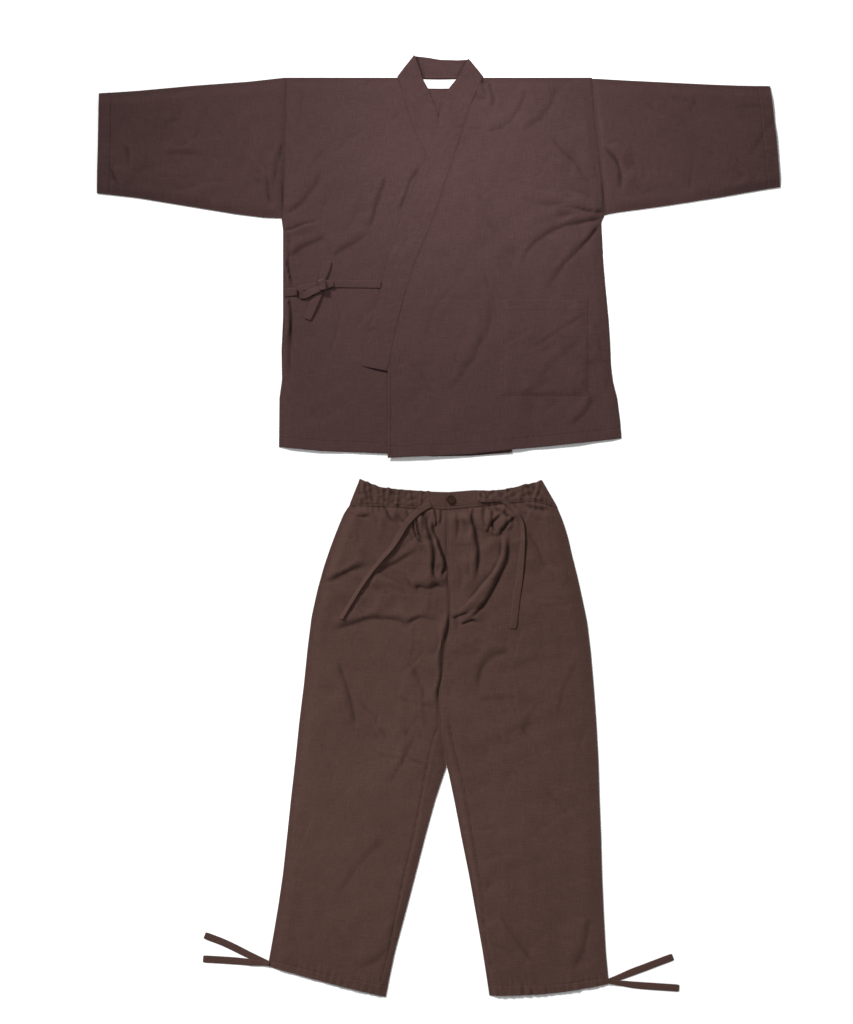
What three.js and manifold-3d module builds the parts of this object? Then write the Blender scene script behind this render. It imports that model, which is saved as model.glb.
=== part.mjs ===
// Samue set laid flat: a wrapped jacket with its trousers below it.
// Millimetres. X is to the viewer's right, Y is towards the collar and Z is up from the surface.
// Right and left in the names are the wearer's, so a right piece is on the viewer's left.
import * as THREE from 'three';
import Module from 'manifold-3d';

const wasm = await Module();
wasm.setup();

// Cloth and seams
const cloth = 1.2;
const doubled = 2.0;
const seamGap = 0.3;
const underMid = cloth / 2;
const seamMid = 1.5 * cloth + seamGap;
const layMid = seamMid + 0.9;

// Jacket
const shoulderY = 875;
const bandEndY = 303;
const bandRows = 16;
const hemRows = 5;
const frontColumns = 14;
const overlapRise = 2.2;
const overlapSlope = 40;
const frontEdgeRight = 143;
const seamRise = 40;

// Sleeves
const sleeveRows = 8;
const sleeveFront = 10;
const sleeveBack = 5;
const foldSteps = 4;
const foldMid = 2.7;

// Pocket, label and button
const pocket = { left: 122, right: 290.5, lower: 256, upper: 442, cells: 8 };
const label = { left: -31, right: 34, upper: 871.5, lowerLeft: -17, lowerRight: 21, lower: 855 };
const button = { x: 24, y: 53, radius: 8.4, thick: 3.2, holeRadius: 1, holeOut: 1.9 };

// Trousers
const legFront = 24;
const legBack = 6;
const legGathers = 12;
const gatherHeight = 1.5;
const waistGathers = 13;
const waistRows = 3;
const waistFlat = { left: -14, right: 73, opening: 16.6 };
const backDrop = 4;
const tieWidth = 14;

// Outer edge of the jacket's body, from the shoulder down
const sideRight = [
  { y: 875, x: -297 }, { y: 790, x: -299 }, { y: 690, x: -302 }, { y: 600, x: -306 },
  { y: 578, x: -303 }, { y: 407, x: -303 }, { y: 344, x: -306 }, { y: 286, x: -305 },
  { y: 251, x: -310 }, { y: 150, x: -311 },
];
const sideLeft = [
  { y: 875, x: 299 }, { y: 793, x: 305 }, { y: 715, x: 315 }, { y: 606, x: 324 },
  { y: 594, x: 317 }, { y: 516, x: 321 }, { y: 469, x: 325 }, { y: 407, x: 331 },
  { y: 364, x: 334 }, { y: 313, x: 336 }, { y: 282, x: 340 }, { y: 251, x: 348 },
  { y: 204, x: 354 }, { y: 165, x: 357 },
];

// Hem of each front, from the viewer's left to right
const hemRight = [
  { x: -311, y: 155 }, { x: -231, y: 147 }, { x: -98, y: 143 }, { x: 143, y: 144 },
];
const hemLeft = [
  { x: -98, y: 133.6 }, { x: -13, y: 137.5 }, { x: 63, y: 141 }, { x: 143, y: 150 },
  { x: 212, y: 156 }, { x: 315, y: 167 }, { x: 357, y: 172 },
];

// Collar bands, from the shoulder fold down: the seam to the front, and the free edge
const bandRight = [
  { seamX: -79, seamY: 875, freeX: -46, freeY: 917 },
  { seamX: -72, seamY: 855, freeX: -32, freeY: 874 },
  { seamX: -66, seamY: 835, freeX: -20, freeY: 852 },
  { seamX: -58, seamY: 808, freeX: -10, freeY: 824 },
  { seamX: -42, seamY: 765, freeX: 8, freeY: 779 },
  { seamX: -20, seamY: 719, freeX: 28, freeY: 736 },
  { seamX: 15, seamY: 611, freeX: 65, freeY: 629 },
  { seamX: 61, seamY: 479, freeX: 112, freeY: 496 },
  { seamX: 116, seamY: 358, freeX: 165, freeY: 377 },
  { seamX: 143, seamY: 303, freeX: 192, freeY: 313 },
];
const bandLeft = [
  { seamX: 86, seamY: 875, freeX: 57, freeY: 910 },
  { seamX: 77, seamY: 855, freeX: 40, freeY: 878 },
  { seamX: 69, seamY: 836, freeX: 22, freeY: 856 },
  { seamX: 61, seamY: 817, freeX: 8, freeY: 832 },
  { seamX: 54, seamY: 797, freeX: 2, freeY: 805 },
  { seamX: 44, seamY: 765, freeX: -2, freeY: 778 },
  { seamX: 34, seamY: 734, freeX: -12, freeY: 750 },
  { seamX: 17, seamY: 683, freeX: -32, freeY: 700 },
  { seamX: -3, seamY: 621, freeX: -56, freeY: 640 },
  { seamX: -22, seamY: 572, freeX: -76, freeY: 590 },
  { seamX: -48, seamY: 510, freeX: -98, freeY: 522 },
  { seamX: -67, seamY: 448, freeX: -114, freeY: 452 },
  { seamX: -87, seamY: 370, freeX: -138, freeY: 373 },
  { seamX: -99, seamY: 303, freeX: -150, freeY: 313 },
];
const neckEdge = [
  { x: -46, y: 917 }, { x: -20, y: 914 }, { x: 3, y: 910 }, { x: 38, y: 909 }, { x: 57, y: 910 },
];

// How far the underlap reaches under the overlap
const underEdge = [
  { y: 920, x: -46 }, { y: 874, x: -32 }, { y: 824, x: -10 }, { y: 779, x: 8 },
  { y: 736, x: 28 }, { y: 629, x: 65 }, { y: 496, x: 112 }, { y: 377, x: 165 },
  { y: 315, x: 192 }, { y: 290, x: 192 }, { y: 262, x: 148 }, { y: 100, x: 148 },
];

// Sleeves: the fold along the top and the seam along the bottom, from the body out
const sleeveRight = {
  body: sideRight,
  fold: [
    { x: -297, y: 875 }, { x: -368, y: 867 }, { x: -477, y: 859 }, { x: -586, y: 849 },
    { x: -662, y: 844 },
  ],
  seam: [
    { x: -307, y: 601 }, { x: -340, y: 602 }, { x: -395, y: 609 }, { x: -492, y: 625 },
    { x: -588, y: 641 }, { x: -666, y: 650 },
  ],
  cuffBow: 0,
};
const sleeveLeft = {
  body: sideLeft,
  fold: [
    { x: 299, y: 873 }, { x: 370, y: 869 }, { x: 451, y: 865 }, { x: 533, y: 861 },
    { x: 588, y: 859 }, { x: 646, y: 858 },
  ],
  seam: [
    { x: 325, y: 607 }, { x: 342, y: 611 }, { x: 444, y: 625 }, { x: 545, y: 641 },
    { x: 629, y: 656 }, { x: 666, y: 662 },
  ],
  cuffBow: 2,
};

// Trouser legs, a row for each level from the waist seam to the hem
const legRight = [
  { outerX: -173, outerY: 42, innerX: 16, innerY: 35 },
  { outerX: -184, outerY: 26, innerX: 16, innerY: 10 },
  { outerX: -196, outerY: -3, innerX: 16, innerY: -20 },
  { outerX: -209, outerY: -37, innerX: 16, innerY: -55 },
  { outerX: -223, outerY: -78, innerX: 18, innerY: -95 },
  { outerX: -236, outerY: -125, innerX: 21, innerY: -140 },
  { outerX: -247, outerY: -175, innerX: 21, innerY: -190 },
  { outerX: -255, outerY: -238, innerX: 12, innerY: -250 },
  { outerX: -262, outerY: -307, innerX: 3, innerY: -320 },
  { outerX: -271, outerY: -380, innerX: 4, innerY: -395 },
  { outerX: -279, outerY: -458, innerX: 15, innerY: -469 },
  { outerX: -287, outerY: -528, innerX: -7, innerY: -535 },
  { outerX: -295, outerY: -605, innerX: -27, innerY: -608 },
  { outerX: -303, outerY: -678, innerX: -46, innerY: -682 },
  { outerX: -312, outerY: -740, innerX: -65, innerY: -755 },
  { outerX: -323, outerY: -805, innerX: -85, innerY: -828 },
  { outerX: -329, outerY: -838, innerX: -96, innerY: -880 },
  { outerX: -332, outerY: -857, innerX: -103, innerY: -917 },
];
const legLeft = [
  { outerX: 231, outerY: 38, innerX: 17, innerY: 35 },
  { outerX: 243, outerY: 8, innerX: 17, innerY: 10 },
  { outerX: 252, outerY: -22, innerX: 17, innerY: -20 },
  { outerX: 260, outerY: -58, innerX: 17, innerY: -55 },
  { outerX: 270, outerY: -97, innerX: 19, innerY: -95 },
  { outerX: 280, outerY: -143, innerX: 22, innerY: -140 },
  { outerX: 289, outerY: -186, innerX: 22, innerY: -190 },
  { outerX: 296, outerY: -245, innerX: 13, innerY: -250 },
  { outerX: 302, outerY: -315, innerX: 4, innerY: -320 },
  { outerX: 307, outerY: -385, innerX: 5, innerY: -395 },
  { outerX: 311, outerY: -460, innerX: 17, innerY: -469 },
  { outerX: 313, outerY: -530, innerX: 31, innerY: -535 },
  { outerX: 316, outerY: -605, innerX: 45, innerY: -608 },
  { outerX: 318, outerY: -680, innerX: 60, innerY: -682 },
  { outerX: 321, outerY: -750, innerX: 73, innerY: -755 },
  { outerX: 325, outerY: -826, innerX: 86, innerY: -828 },
  { outerX: 329, outerY: -870, innerX: 94, innerY: -880 },
  { outerX: 331, outerY: -892, innerX: 99, innerY: -914 },
];
const hemBulge = { right: 2, left: 7 };

// Waistband edges, from the viewer's left to right
const waistLower = [
  { x: -173, y: 42 }, { x: -118, y: 41 }, { x: -59, y: 38 }, { x: 17, y: 35.3 },
  { x: 71, y: 40 }, { x: 143, y: 48 }, { x: 178, y: 51 }, { x: 208, y: 46 }, { x: 231, y: 38 },
];
const waistUpper = [
  { x: -153, y: 91 }, { x: -137, y: 86 }, { x: -114, y: 77 }, { x: -83, y: 73 },
  { x: -13, y: 68 }, { x: 19, y: 67 }, { x: 69, y: 71 }, { x: 104, y: 70 }, { x: 132, y: 73 },
  { x: 159, y: 79 }, { x: 201, y: 89 },
];

// Largest folds: a soft ridge from one point to another, its height and its half width
const bodyRightFolds = [
  { x1: -295, y1: 627, x2: -217, y2: 724, height: 1.6, width: 20 },
  { x1: -286, y1: 520, x2: -202, y2: 568, height: 1.4, width: 16 },
  { x1: -202, y1: 529, x2: -130, y2: 574, height: 1.2, width: 16 },
  { x1: -296, y1: 535, x2: -292, y2: 300, height: 1.6, width: 10 },
];
const bodyLeftFolds = [
  { x1: 313, y1: 612, x2: 237, y2: 621, height: 1.8, width: 16 },
  { x1: 310, y1: 585, x2: 159, y2: 540, height: 2.8, width: 18 },
  { x1: 159, y1: 540, x2: 136, y2: 480, height: 2, width: 18 },
  { x1: 300, y1: 560, x2: 200, y2: 450, height: 2.2, width: 16 },
  { x1: 297, y1: 418, x2: 231, y2: 380, height: 1.4, width: 16 },
  { x1: 297, y1: 245, x2: 255, y2: 190, height: 1.6, width: 18 },
  { x1: 165, y1: 830, x2: 110, y2: 765, height: 1.6, width: 18 },
  { x1: 225, y1: 845, x2: 150, y2: 770, height: 1.4, width: 18 },
];
const sleeveRightFolds = [
  { x1: -609, y1: 834, x2: -621, y2: 808, height: 1.2, width: 16 },
  { x1: -330, y1: 840, x2: -320, y2: 690, height: 1.4, width: 22 },
  { x1: -600, y1: 735, x2: -470, y2: 700, height: 0.8, width: 30 },
];
const sleeveLeftFolds = [
  { x1: 327, y1: 740, x2: 354, y2: 646, height: 1.8, width: 20 },
  { x1: 400, y1: 790, x2: 560, y2: 760, height: 0.9, width: 34 },
];
const legRightFolds = [
  { x1: -11, y1: -32, x2: -5, y2: -110, height: 2.4, width: 13 },
  { x1: -120, y1: 20, x2: -86, y2: -45, height: 1.8, width: 12 },
  { x1: -157, y1: -190, x2: -10, y2: -178, height: 1.6, width: 14 },
  { x1: -225, y1: -112, x2: -137, y2: -83, height: 1.4, width: 14 },
  { x1: -10, y1: -130, x2: -14, y2: -330, height: 2, width: 18 },
  { x1: -196, y1: -266, x2: -159, y2: -397, height: 1.2, width: 26 },
];
const legLeftFolds = [
  { x1: 136, y1: -26, x2: 108, y2: -120, height: 2.6, width: 14 },
  { x1: 108, y1: -120, x2: 57, y2: -178, height: 2.4, width: 15 },
  { x1: 40, y1: -40, x2: 44, y2: -150, height: 1.6, width: 14 },
  { x1: 30, y1: -190, x2: 20, y2: -400, height: 2, width: 16 },
  { x1: 145, y1: -475, x2: 114, y2: -540, height: 1.2, width: 26 },
  { x1: 130, y1: -250, x2: 81, y2: -319, height: 1.2, width: 28 },
  { x1: 309, y1: -781, x2: 282, y2: -851, height: 1.4, width: 18 },
  { x1: 120, y1: -768, x2: 198, y2: -865, height: 1.2, width: 20 },
];

// Ties: the middle line and width, from where each leaves its piece
const waistTieRight = [
  { x: -16, y: 46, width: 13 }, { x: -30, y: 36, width: 13 }, { x: -46, y: 21, width: 13 },
  { x: -65, y: 3, width: 13 }, { x: -81, y: -16, width: 12 }, { x: -98, y: -40, width: 10 },
  { x: -120, y: -69, width: 9 }, { x: -140, y: -99, width: 8 }, { x: -158, y: -127, width: 8 },
  { x: -174, y: -152, width: 8 }, { x: -190, y: -178, width: 9 },
];
const waistTieLeft = [
  { x: 76, y: 53, width: 13 }, { x: 92, y: 51, width: 13 }, { x: 108, y: 52, width: 12 },
  { x: 124, y: 50, width: 11 }, { x: 139, y: 40, width: 10 }, { x: 152, y: 26, width: 9 },
  { x: 161, y: 8, width: 9 }, { x: 164, y: -14, width: 9 }, { x: 163, y: -40, width: 11 },
  { x: 160, y: -75, width: 14 }, { x: 156, y: -110, width: 15 }, { x: 151, y: -145, width: 15 },
  { x: 145, y: -198, width: 15 },
];
const ankleTies = {
  right_leg_tie_upper: [
    { x: -332.7, y: -849, z: 2.3 }, { x: -344, y: -845, z: 2.3 }, { x: -358, y: -840, z: 2.3 },
    { x: -372, y: -834, z: 2.1 }, { x: -386, y: -827, z: 1.2 }, { x: -402, y: -819, z: 0.6 },
    { x: -424, y: -809, z: 0.6 }, { x: -456, y: -797, z: 0.6 },
  ],
  right_leg_tie_lower: [
    { x: -333, y: -853, z: 0.6 }, { x: -358, y: -850, z: 0.6 }, { x: -395, y: -847, z: 0.6 },
    { x: -424, y: -845, z: 0.6 }, { x: -459, y: -843, z: 0.6 },
  ],
  left_leg_tie_upper: [
    { x: 332.8, y: -884.6, z: 2.3 }, { x: 344, y: -881, z: 2.3 }, { x: 357, y: -877, z: 2.2 },
    { x: 372, y: -871, z: 1.2 }, { x: 385, y: -866, z: 0.6 }, { x: 404, y: -859, z: 0.6 },
    { x: 430, y: -849, z: 0.6 }, { x: 457, y: -839, z: 0.6 },
  ],
  left_leg_tie_lower: [
    { x: 332.5, y: -886, z: 0.6 }, { x: 350, y: -889.5, z: 0.6 }, { x: 380, y: -893.5, z: 0.6 },
    { x: 410, y: -896, z: 0.6 }, { x: 440, y: -898, z: 0.6 }, { x: 469, y: -900, z: 0.6 },
  ],
};
const tieThick = 1.2;
const knot = { x: -225, y: 465, radiusX: 11, radiusY: 9, height: 6.5, clear: 0.7 };
const bowPieces = {
  jacket_tie_left: [
    { x: -113, y: 466, width: 15 }, { x: -140, y: 467, width: 14 }, { x: -170, y: 468, width: 14 },
    { x: -195, y: 468, width: 13 }, { x: -212, y: 468, width: 11 },
  ],
  jacket_tie_right: [
    { x: -300, y: 457, width: 14 }, { x: -290, y: 457, width: 14 }, { x: -280, y: 457, width: 13 },
  ],
  bow_tail_upper: [
    { x: -224, y: 476, width: 13 }, { x: -222, y: 490, width: 15 }, { x: -220, y: 503, width: 17 },
    { x: -218, y: 516, width: 18 },
  ],
  bow_tail_lower: [
    { x: -231, y: 454, width: 13 }, { x: -238, y: 440, width: 15 }, { x: -246, y: 422, width: 16 },
    { x: -254, y: 405, width: 16 },
  ],
  bow_loop_right: [
    { x: -239, y: 464, width: 12 }, { x: -250, y: 459, width: 14 }, { x: -262, y: 455, width: 15 },
    { x: -273, y: 454, width: 14 },
  ],
};

const mix = (a, b, t) => a + (b - a) * t;

// Rises smoothly from 0 to 1
const soft = (t) => {
  const c = Math.min(1, Math.max(0, t));
  return c * c * (3 - 2 * c);
};

// Value of a column where another column has the given value, along straight lines between rows
function look(table, from, to, value) {
  const down = table[0][from] > table[table.length - 1][from];
  const i = table.findIndex((row) => (down ? row[from] <= value : row[from] >= value));
  if (i <= 0) {
    return i === 0 ? table[0][to] : table[table.length - 1][to];
  }
  const a = table[i - 1];
  const b = table[i];
  return mix(a[to], b[to], (value - a[from]) / (b[from] - a[from]));
}

// Table column at a share of the way between its first and last x
function alongX(table, share) {
  return look(table, 'x', 'y', mix(table[0].x, table[table.length - 1].x, share));
}

// Sum of the soft ridges at a point
function lift(x, y, folds) {
  let sum = 0;
  for (const f of folds) {
    const dx = f.x2 - f.x1;
    const dy = f.y2 - f.y1;
    const along = ((x - f.x1) * dx + (y - f.y1) * dy) / (dx * dx + dy * dy);
    const t = Math.min(1, Math.max(0, along));
    const away = Math.hypot(x - f.x1 - t * dx, y - f.y1 - t * dy) / f.width;
    sum += f.height * Math.exp(-away * away);
  }
  return sum;
}

const round4 = (v) => Math.round(v * 1e4) / 1e4;

// Closed solid between two grids of points that share their edges' layout
function solidBetween(name, upper, lower, material) {
  const rows = upper.length;
  const columns = upper[0].length;
  const count = rows * columns;
  const positions = [];
  for (const grid of [upper, lower]) {
    for (const p of grid.flat()) {
      positions.push(round4(p.x), round4(p.y), round4(p.z));
    }
  }
  const index = [];
  const quad = (a, b, c, d) => index.push(a, b, c, a, c, d);
  for (let i = 0; i < rows - 1; i += 1) {
    for (let j = 0; j < columns - 1; j += 1) {
      const k = i * columns + j;
      quad(k, k + columns, k + columns + 1, k + 1);
      quad(count + k, count + k + 1, count + k + columns + 1, count + k + columns);
    }
  }
  for (let j = 0; j < columns - 1; j += 1) {
    const k = (rows - 1) * columns + j;
    quad(j, j + 1, count + j + 1, count + j);
    quad(k + 1, k, count + k, count + k + 1);
  }
  for (let i = 0; i < rows - 1; i += 1) {
    const a = i * columns;
    const b = a + columns - 1;
    quad(a + columns, a, count + a, count + a + columns);
    quad(b, b + columns, count + b + columns, count + b);
  }
  let volume = 0;
  const corner = (k) => new THREE.Vector3(...positions.slice(3 * k, 3 * k + 3));
  for (let t = 0; t < index.length; t += 3) {
    volume += corner(index[t]).dot(corner(index[t + 1]).cross(corner(index[t + 2])));
  }
  if (volume < 0) {
    for (let t = 0; t < index.length; t += 3) {
      [index[t], index[t + 1]] = [index[t + 1], index[t]];
    }
  }
  const geometry = new THREE.BufferGeometry();
  geometry.setAttribute('position', new THREE.Float32BufferAttribute(positions, 3));
  geometry.setIndex(index);
  geometry.computeVertexNormals();
  const mesh = new THREE.Mesh(geometry, material);
  mesh.name = name;
  return mesh;
}

// Cloth of one thickness on both sides of a grid of middle points
function clothWall(name, middle, thickness, material) {
  const rows = middle.length;
  const columns = middle[0].length;
  const offset = (side) => middle.map((row, i) => row.map((p, j) => {
    const alongRow = row[Math.min(j + 1, columns - 1)].clone().sub(row[Math.max(j - 1, 0)]);
    const next = middle[Math.min(i + 1, rows - 1)][j];
    const alongColumn = next.clone().sub(middle[Math.max(i - 1, 0)][j]);
    const normal = alongRow.cross(alongColumn).normalize();
    return p.clone().addScaledVector(normal, (side * thickness) / 2);
  }));
  return solidBetween(name, offset(1), offset(-1), material);
}

// Cloth of one thickness, measured straight up, on a grid of middle points
function flatWall(name, middle, thickness, material) {
  const raised = (by) => middle.map((row) => row.map((p) => p.clone().setZ(p.z + by)));
  return solidBetween(name, raised(thickness / 2), raised(-thickness / 2), material);
}

const finish = (color, roughness) => new THREE.MeshStandardMaterial({
  color,
  roughness,
  metalness: 0,
});
const jacketCloth = () => finish(0x584342, 0.92);
const trouserCloth = () => finish(0x553f3a, 0.92);
const labelCloth = () => finish(0xe6e4e0, 0.8);
const buttonResin = () => finish(0x3a2a26, 0.45);

// Middle height of the underlap front: low at its seams, and raised by its folds
function underHeight(x, y) {
  const inFromSide = x - look(sideRight, 'y', 'x', y);
  const rise = soft(inFromSide / seamRise) * soft((shoulderY - y) / seamRise);
  return seamMid + (layMid - seamMid) * rise + lift(x, y, bodyRightFolds) * rise;
}

// How much of the underlap lies below a point of the overlap, from 0 to 1
function overShare(x, y) {
  return 1 - soft((x - look(underEdge, 'y', 'x', y) - 14) / overlapSlope);
}

// Middle height of the overlap front
function overHeight(x, y) {
  const inFromSide = look(sideLeft, 'y', 'x', y) - x;
  const rise = soft(inFromSide / seamRise) * soft((shoulderY - y) / seamRise);
  const lay = seamMid + (layMid - seamMid) * rise;
  return lay + overlapRise * overShare(x, y) * rise + lift(x, y, bodyLeftFolds) * rise;
}

// Level of a front's row: evenly down the collar seam, then on to the slanting hem
function frontLevel(i, hemY) {
  if (i <= bandRows) {
    return mix(shoulderY, bandEndY, i / bandRows);
  }
  return mix(bandEndY, hemY, (i - bandRows) / hemRows);
}

// A front between its two side lines
function frontPanel(name, leftAt, rightAt, hem, height) {
  const middle = [];
  for (let i = 0; i <= bandRows + hemRows; i += 1) {
    const row = [];
    for (let j = 0; j <= frontColumns; j += 1) {
      const share = j / frontColumns;
      const y = frontLevel(i, alongX(hem, share));
      const x = mix(leftAt(y), rightAt(y), share);
      row.push(new THREE.Vector3(x, y, height(x, y)));
    }
    middle.push(row);
  }
  return flatWall(name, middle, cloth, jacketCloth());
}

function frontRight() {
  const rightAt = (y) => (y > bandEndY ? look(bandRight, 'seamY', 'seamX', y) : frontEdgeRight);
  return frontPanel('front_right', (y) => look(sideRight, 'y', 'x', y), rightAt, hemRight, underHeight);
}

function frontLeft() {
  const leftAt = (y) => look(bandLeft, 'seamY', 'seamX', Math.max(y, bandEndY));
  return frontPanel('front_left', leftAt, (y) => look(sideLeft, 'y', 'x', y), hemLeft, overHeight);
}

// Back, flat on the surface, a little shorter than the fronts
function back() {
  const shorter = 6;
  const columns = 6;
  const middle = [];
  for (let i = 0; i <= bandRows + hemRows; i += 1) {
    const row = [];
    for (let j = 0; j <= columns; j += 1) {
      const y = frontLevel(i, mix(hemRight[0].y, hemLeft[6].y, j / columns) + shorter) - 0.5;
      const x = mix(look(sideRight, 'y', 'x', y), look(sideLeft, 'y', 'x', y), j / columns);
      row.push(new THREE.Vector3(x, y, underMid));
    }
    middle.push(row);
  }
  return flatWall('back', middle, cloth, jacketCloth());
}

// Collar band from its seam to its free edge, a row for each row of the front beside it
function collarBand(name, table, side, height) {
  const columns = 3;
  const middle = [];
  for (let i = 0; i <= bandRows; i += 1) {
    const y = frontLevel(i, 0);
    const seamX = look(table, 'seamY', 'seamX', y) + side * seamGap * 1.5;
    const freeX = look(table, 'seamY', 'freeX', y);
    const freeY = look(table, 'seamY', 'freeY', y);
    const row = [];
    for (let j = 0; j <= columns; j += 1) {
      const share = j / columns;
      const at = new THREE.Vector3(mix(seamX, freeX, share), mix(y, freeY, share), 0);
      at.z = height(at.x, at.y);
      row.push(at);
    }
    middle.push(row);
  }
  return flatWall(name, middle, doubled, jacketCloth());
}

// The right band lies on the back, over the label; the left band climbs over the right one
function collarBands() {
  const atFold = doubled + seamGap + doubled / 2;
  const overLabel = 3.9;
  const overBack = 3.2;
  const overBand = 5.6;
  const rightHeight = (x, y) => {
    const low = mix(overBack, overLabel, soft((y - 830) / 30));
    return mix(low, atFold, soft((y - 870) / 40));
  };
  const leftHeight = (x, y) => {
    const low = mix(overLabel, atFold, soft((y - 870) / 40));
    return mix(overBand, low, soft((y - 815) / 45));
  };
  return [
    collarBand('collar_band_right', bandRight, 1, rightHeight),
    collarBand('collar_band_left', bandLeft, -1, leftHeight),
  ];
}

// Stretch of the collar behind the neck, flat on the surface
function collarBack() {
  const columns = 6;
  const rows = 2;
  const low = { left: bandRight[0].seamX, right: bandLeft[0].seamX, y: shoulderY + seamGap };
  const middle = [];
  for (let i = 0; i <= rows; i += 1) {
    const row = [];
    for (let j = 0; j <= columns; j += 1) {
      const share = j / columns;
      const lowX = mix(low.left, low.right, share);
      const highX = mix(neckEdge[0].x, neckEdge[4].x, share);
      const y = mix(low.y, alongX(neckEdge, share), i / rows);
      row.push(new THREE.Vector3(mix(lowX, highX, i / rows), y, doubled / 2));
    }
    middle.push(row);
  }
  return flatWall('collar_band_back', middle, doubled, jacketCloth());
}

// Bare label on the inside of the back, under the collar seam
function neckLabel() {
  const middle = [0, 1].map((i) => [0, 1, 2, 3].map((j) => {
    const left = mix(label.left, label.lowerLeft, i);
    const right = mix(label.right, label.lowerRight, i);
    return new THREE.Vector3(mix(left, right, j / 3), mix(label.upper, label.lower, i), 2);
  }));
  return flatWall('neck_label', middle, 1, labelCloth());
}

// Patch pocket made from the points of the front below it, moved up
function patchPocket() {
  const clear = cloth + 1.2;
  const middle = [];
  for (let i = 0; i <= pocket.cells; i += 1) {
    const row = [];
    for (let j = 0; j <= pocket.cells; j += 1) {
      const x = mix(pocket.left, pocket.right, j / pocket.cells);
      const y = mix(pocket.upper, pocket.lower, i / pocket.cells);
      row.push(new THREE.Vector3(x, y, overHeight(x, y) + clear));
    }
    middle.push(row);
  }
  return flatWall('pocket', middle, cloth, jacketCloth());
}

// Half turn of cloth from the upper layer to the lower one, at a fold
function halfTurn(height, towards) {
  const radius = (height - underMid) / 2;
  const points = [];
  for (let k = 1; k < foldSteps; k += 1) {
    const angle = (Math.PI * k) / foldSteps;
    points.push({ out: towards * radius * Math.sin(angle), z: underMid + radius * (1 + Math.cos(angle)) });
  }
  return points;
}

// One layer folded at the top: front from the underarm seam up, over the fold, and down the back
function sleeve(name, shape, folds, side) {
  const middle = [];
  const bodyX = (y) => look(shape.body, 'y', 'x', y) + side * seamGap;
  for (let i = 0; i <= sleeveRows; i += 1) {
    const share = i / sleeveRows;
    const foldY = alongX(shape.fold, share) - foldMid / 2;
    const seamY = alongX(shape.seam, share);
    const place = (t) => {
      const y = mix(seamY, foldY, t);
      const cuff = mix(shape.seam[shape.seam.length - 1].x, shape.fold[shape.fold.length - 1].x, t);
      const bow = shape.cuffBow * Math.sin(Math.PI * t);
      return new THREE.Vector3(mix(bodyX(y), cuff + bow, share), y, underMid);
    };
    const row = [];
    for (let j = 0; j <= sleeveFront; j += 1) {
      const t = j / sleeveFront;
      const p = place(t);
      const rise = soft((p.y - seamY) / seamRise) * soft((foldY - p.y) / seamRise);
      p.z = mix(seamMid, foldMid, t) + (layMid - seamMid + lift(p.x, p.y, folds)) * rise;
      row.push(p);
    }
    for (const turn of halfTurn(foldMid, 1)) {
      const p = place(1);
      row.push(new THREE.Vector3(p.x, p.y + turn.out, turn.z));
    }
    for (let j = 0; j <= sleeveBack; j += 1) {
      row.push(place(1 - j / sleeveBack));
    }
    middle.push(row);
  }
  return clothWall(name, middle, cloth, jacketCloth());
}

// Height of a leg's upper layer over the surface; share is 0 at the inner edge and 1 at the outer fold
function legHeight(x, y, share, down, folds) {
  const width = 260;
  const rise = soft((share * width) / seamRise) * soft(((1 - share) * width) / seamRise);
  const gathers = gatherHeight * (1 + Math.cos(2 * Math.PI * legGathers * share));
  const fade = Math.exp(-down / 55);
  return mix(seamMid, foldMid, share) + (0.9 + gathers * fade + lift(x, y, folds)) * rise;
}

// Trouser leg in one piece: front from the inner edge out, over the side fold, and back below
function leg(name, table, side, bulge, folds) {
  const middle = [];
  table.forEach((row, i) => {
    const down = table[0].innerY - row.innerY;
    const intoHem = i === table.length - 1 ? bulge : 0;
    const innerX = row.innerX + side * seamGap / 2;
    const outerX = row.outerX - side * (foldMid / 2);
    const place = (t) => {
      const x = mix(innerX, outerX, t);
      const straight = mix(row.innerY, row.outerY, t) - intoHem * Math.sin(Math.PI * t);
      const waistY = look(waistLower, 'x', 'y', x) - seamGap * 2;
      const topLine = mix(table[0].innerY, table[0].outerY, t);
      return new THREE.Vector3(x, straight + (waistY - topLine) * Math.max(0, 1 - i / 4), underMid);
    };
    const points = [];
    for (let j = 0; j <= legFront; j += 1) {
      const t = j / legFront;
      const p = place(t);
      p.z = legHeight(p.x, p.y, t, down, folds);
      points.push(p);
    }
    for (const turn of halfTurn(foldMid, side)) {
      const p = place(1);
      points.push(new THREE.Vector3(p.x + turn.out, p.y, turn.z));
    }
    for (let j = 0; j <= legBack; j += 1) {
      const p = place(1 - j / legBack);
      p.y -= i === 0 ? Math.min(backDrop, j * backDrop) : 0;
      points.push(p);
    }
    middle.push(points);
  });
  return clothWall(name, middle, cloth, trouserCloth());
}

// Share of the waistband's front width at each column: gathers left and right of a flat middle
function waistColumns() {
  const width = waistLower[8].x - waistLower[0].x;
  const share = (x) => (x - waistLower[0].x) / width;
  const columns = [];
  for (let j = 0; j < 2 * waistGathers; j += 1) {
    columns.push({ share: mix(0, share(waistFlat.left), j / (2 * waistGathers)), up: j % 2 });
  }
  columns.push({ share: share(waistFlat.left), up: 0 });
  const opening = share(waistFlat.opening);
  const rest = [{ share: share((waistFlat.opening + waistFlat.right) / 2), up: 0 }];
  for (let j = 0; j <= 2 * waistGathers; j += 1) {
    rest.push({ share: mix(share(waistFlat.right), 1, j / (2 * waistGathers)), up: j % 2 });
  }
  return { before: columns, opening, after: rest };
}

// Height of the waistband's front at its flat places
const waistMid = doubled + 0.8 + doubled / 2;

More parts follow.
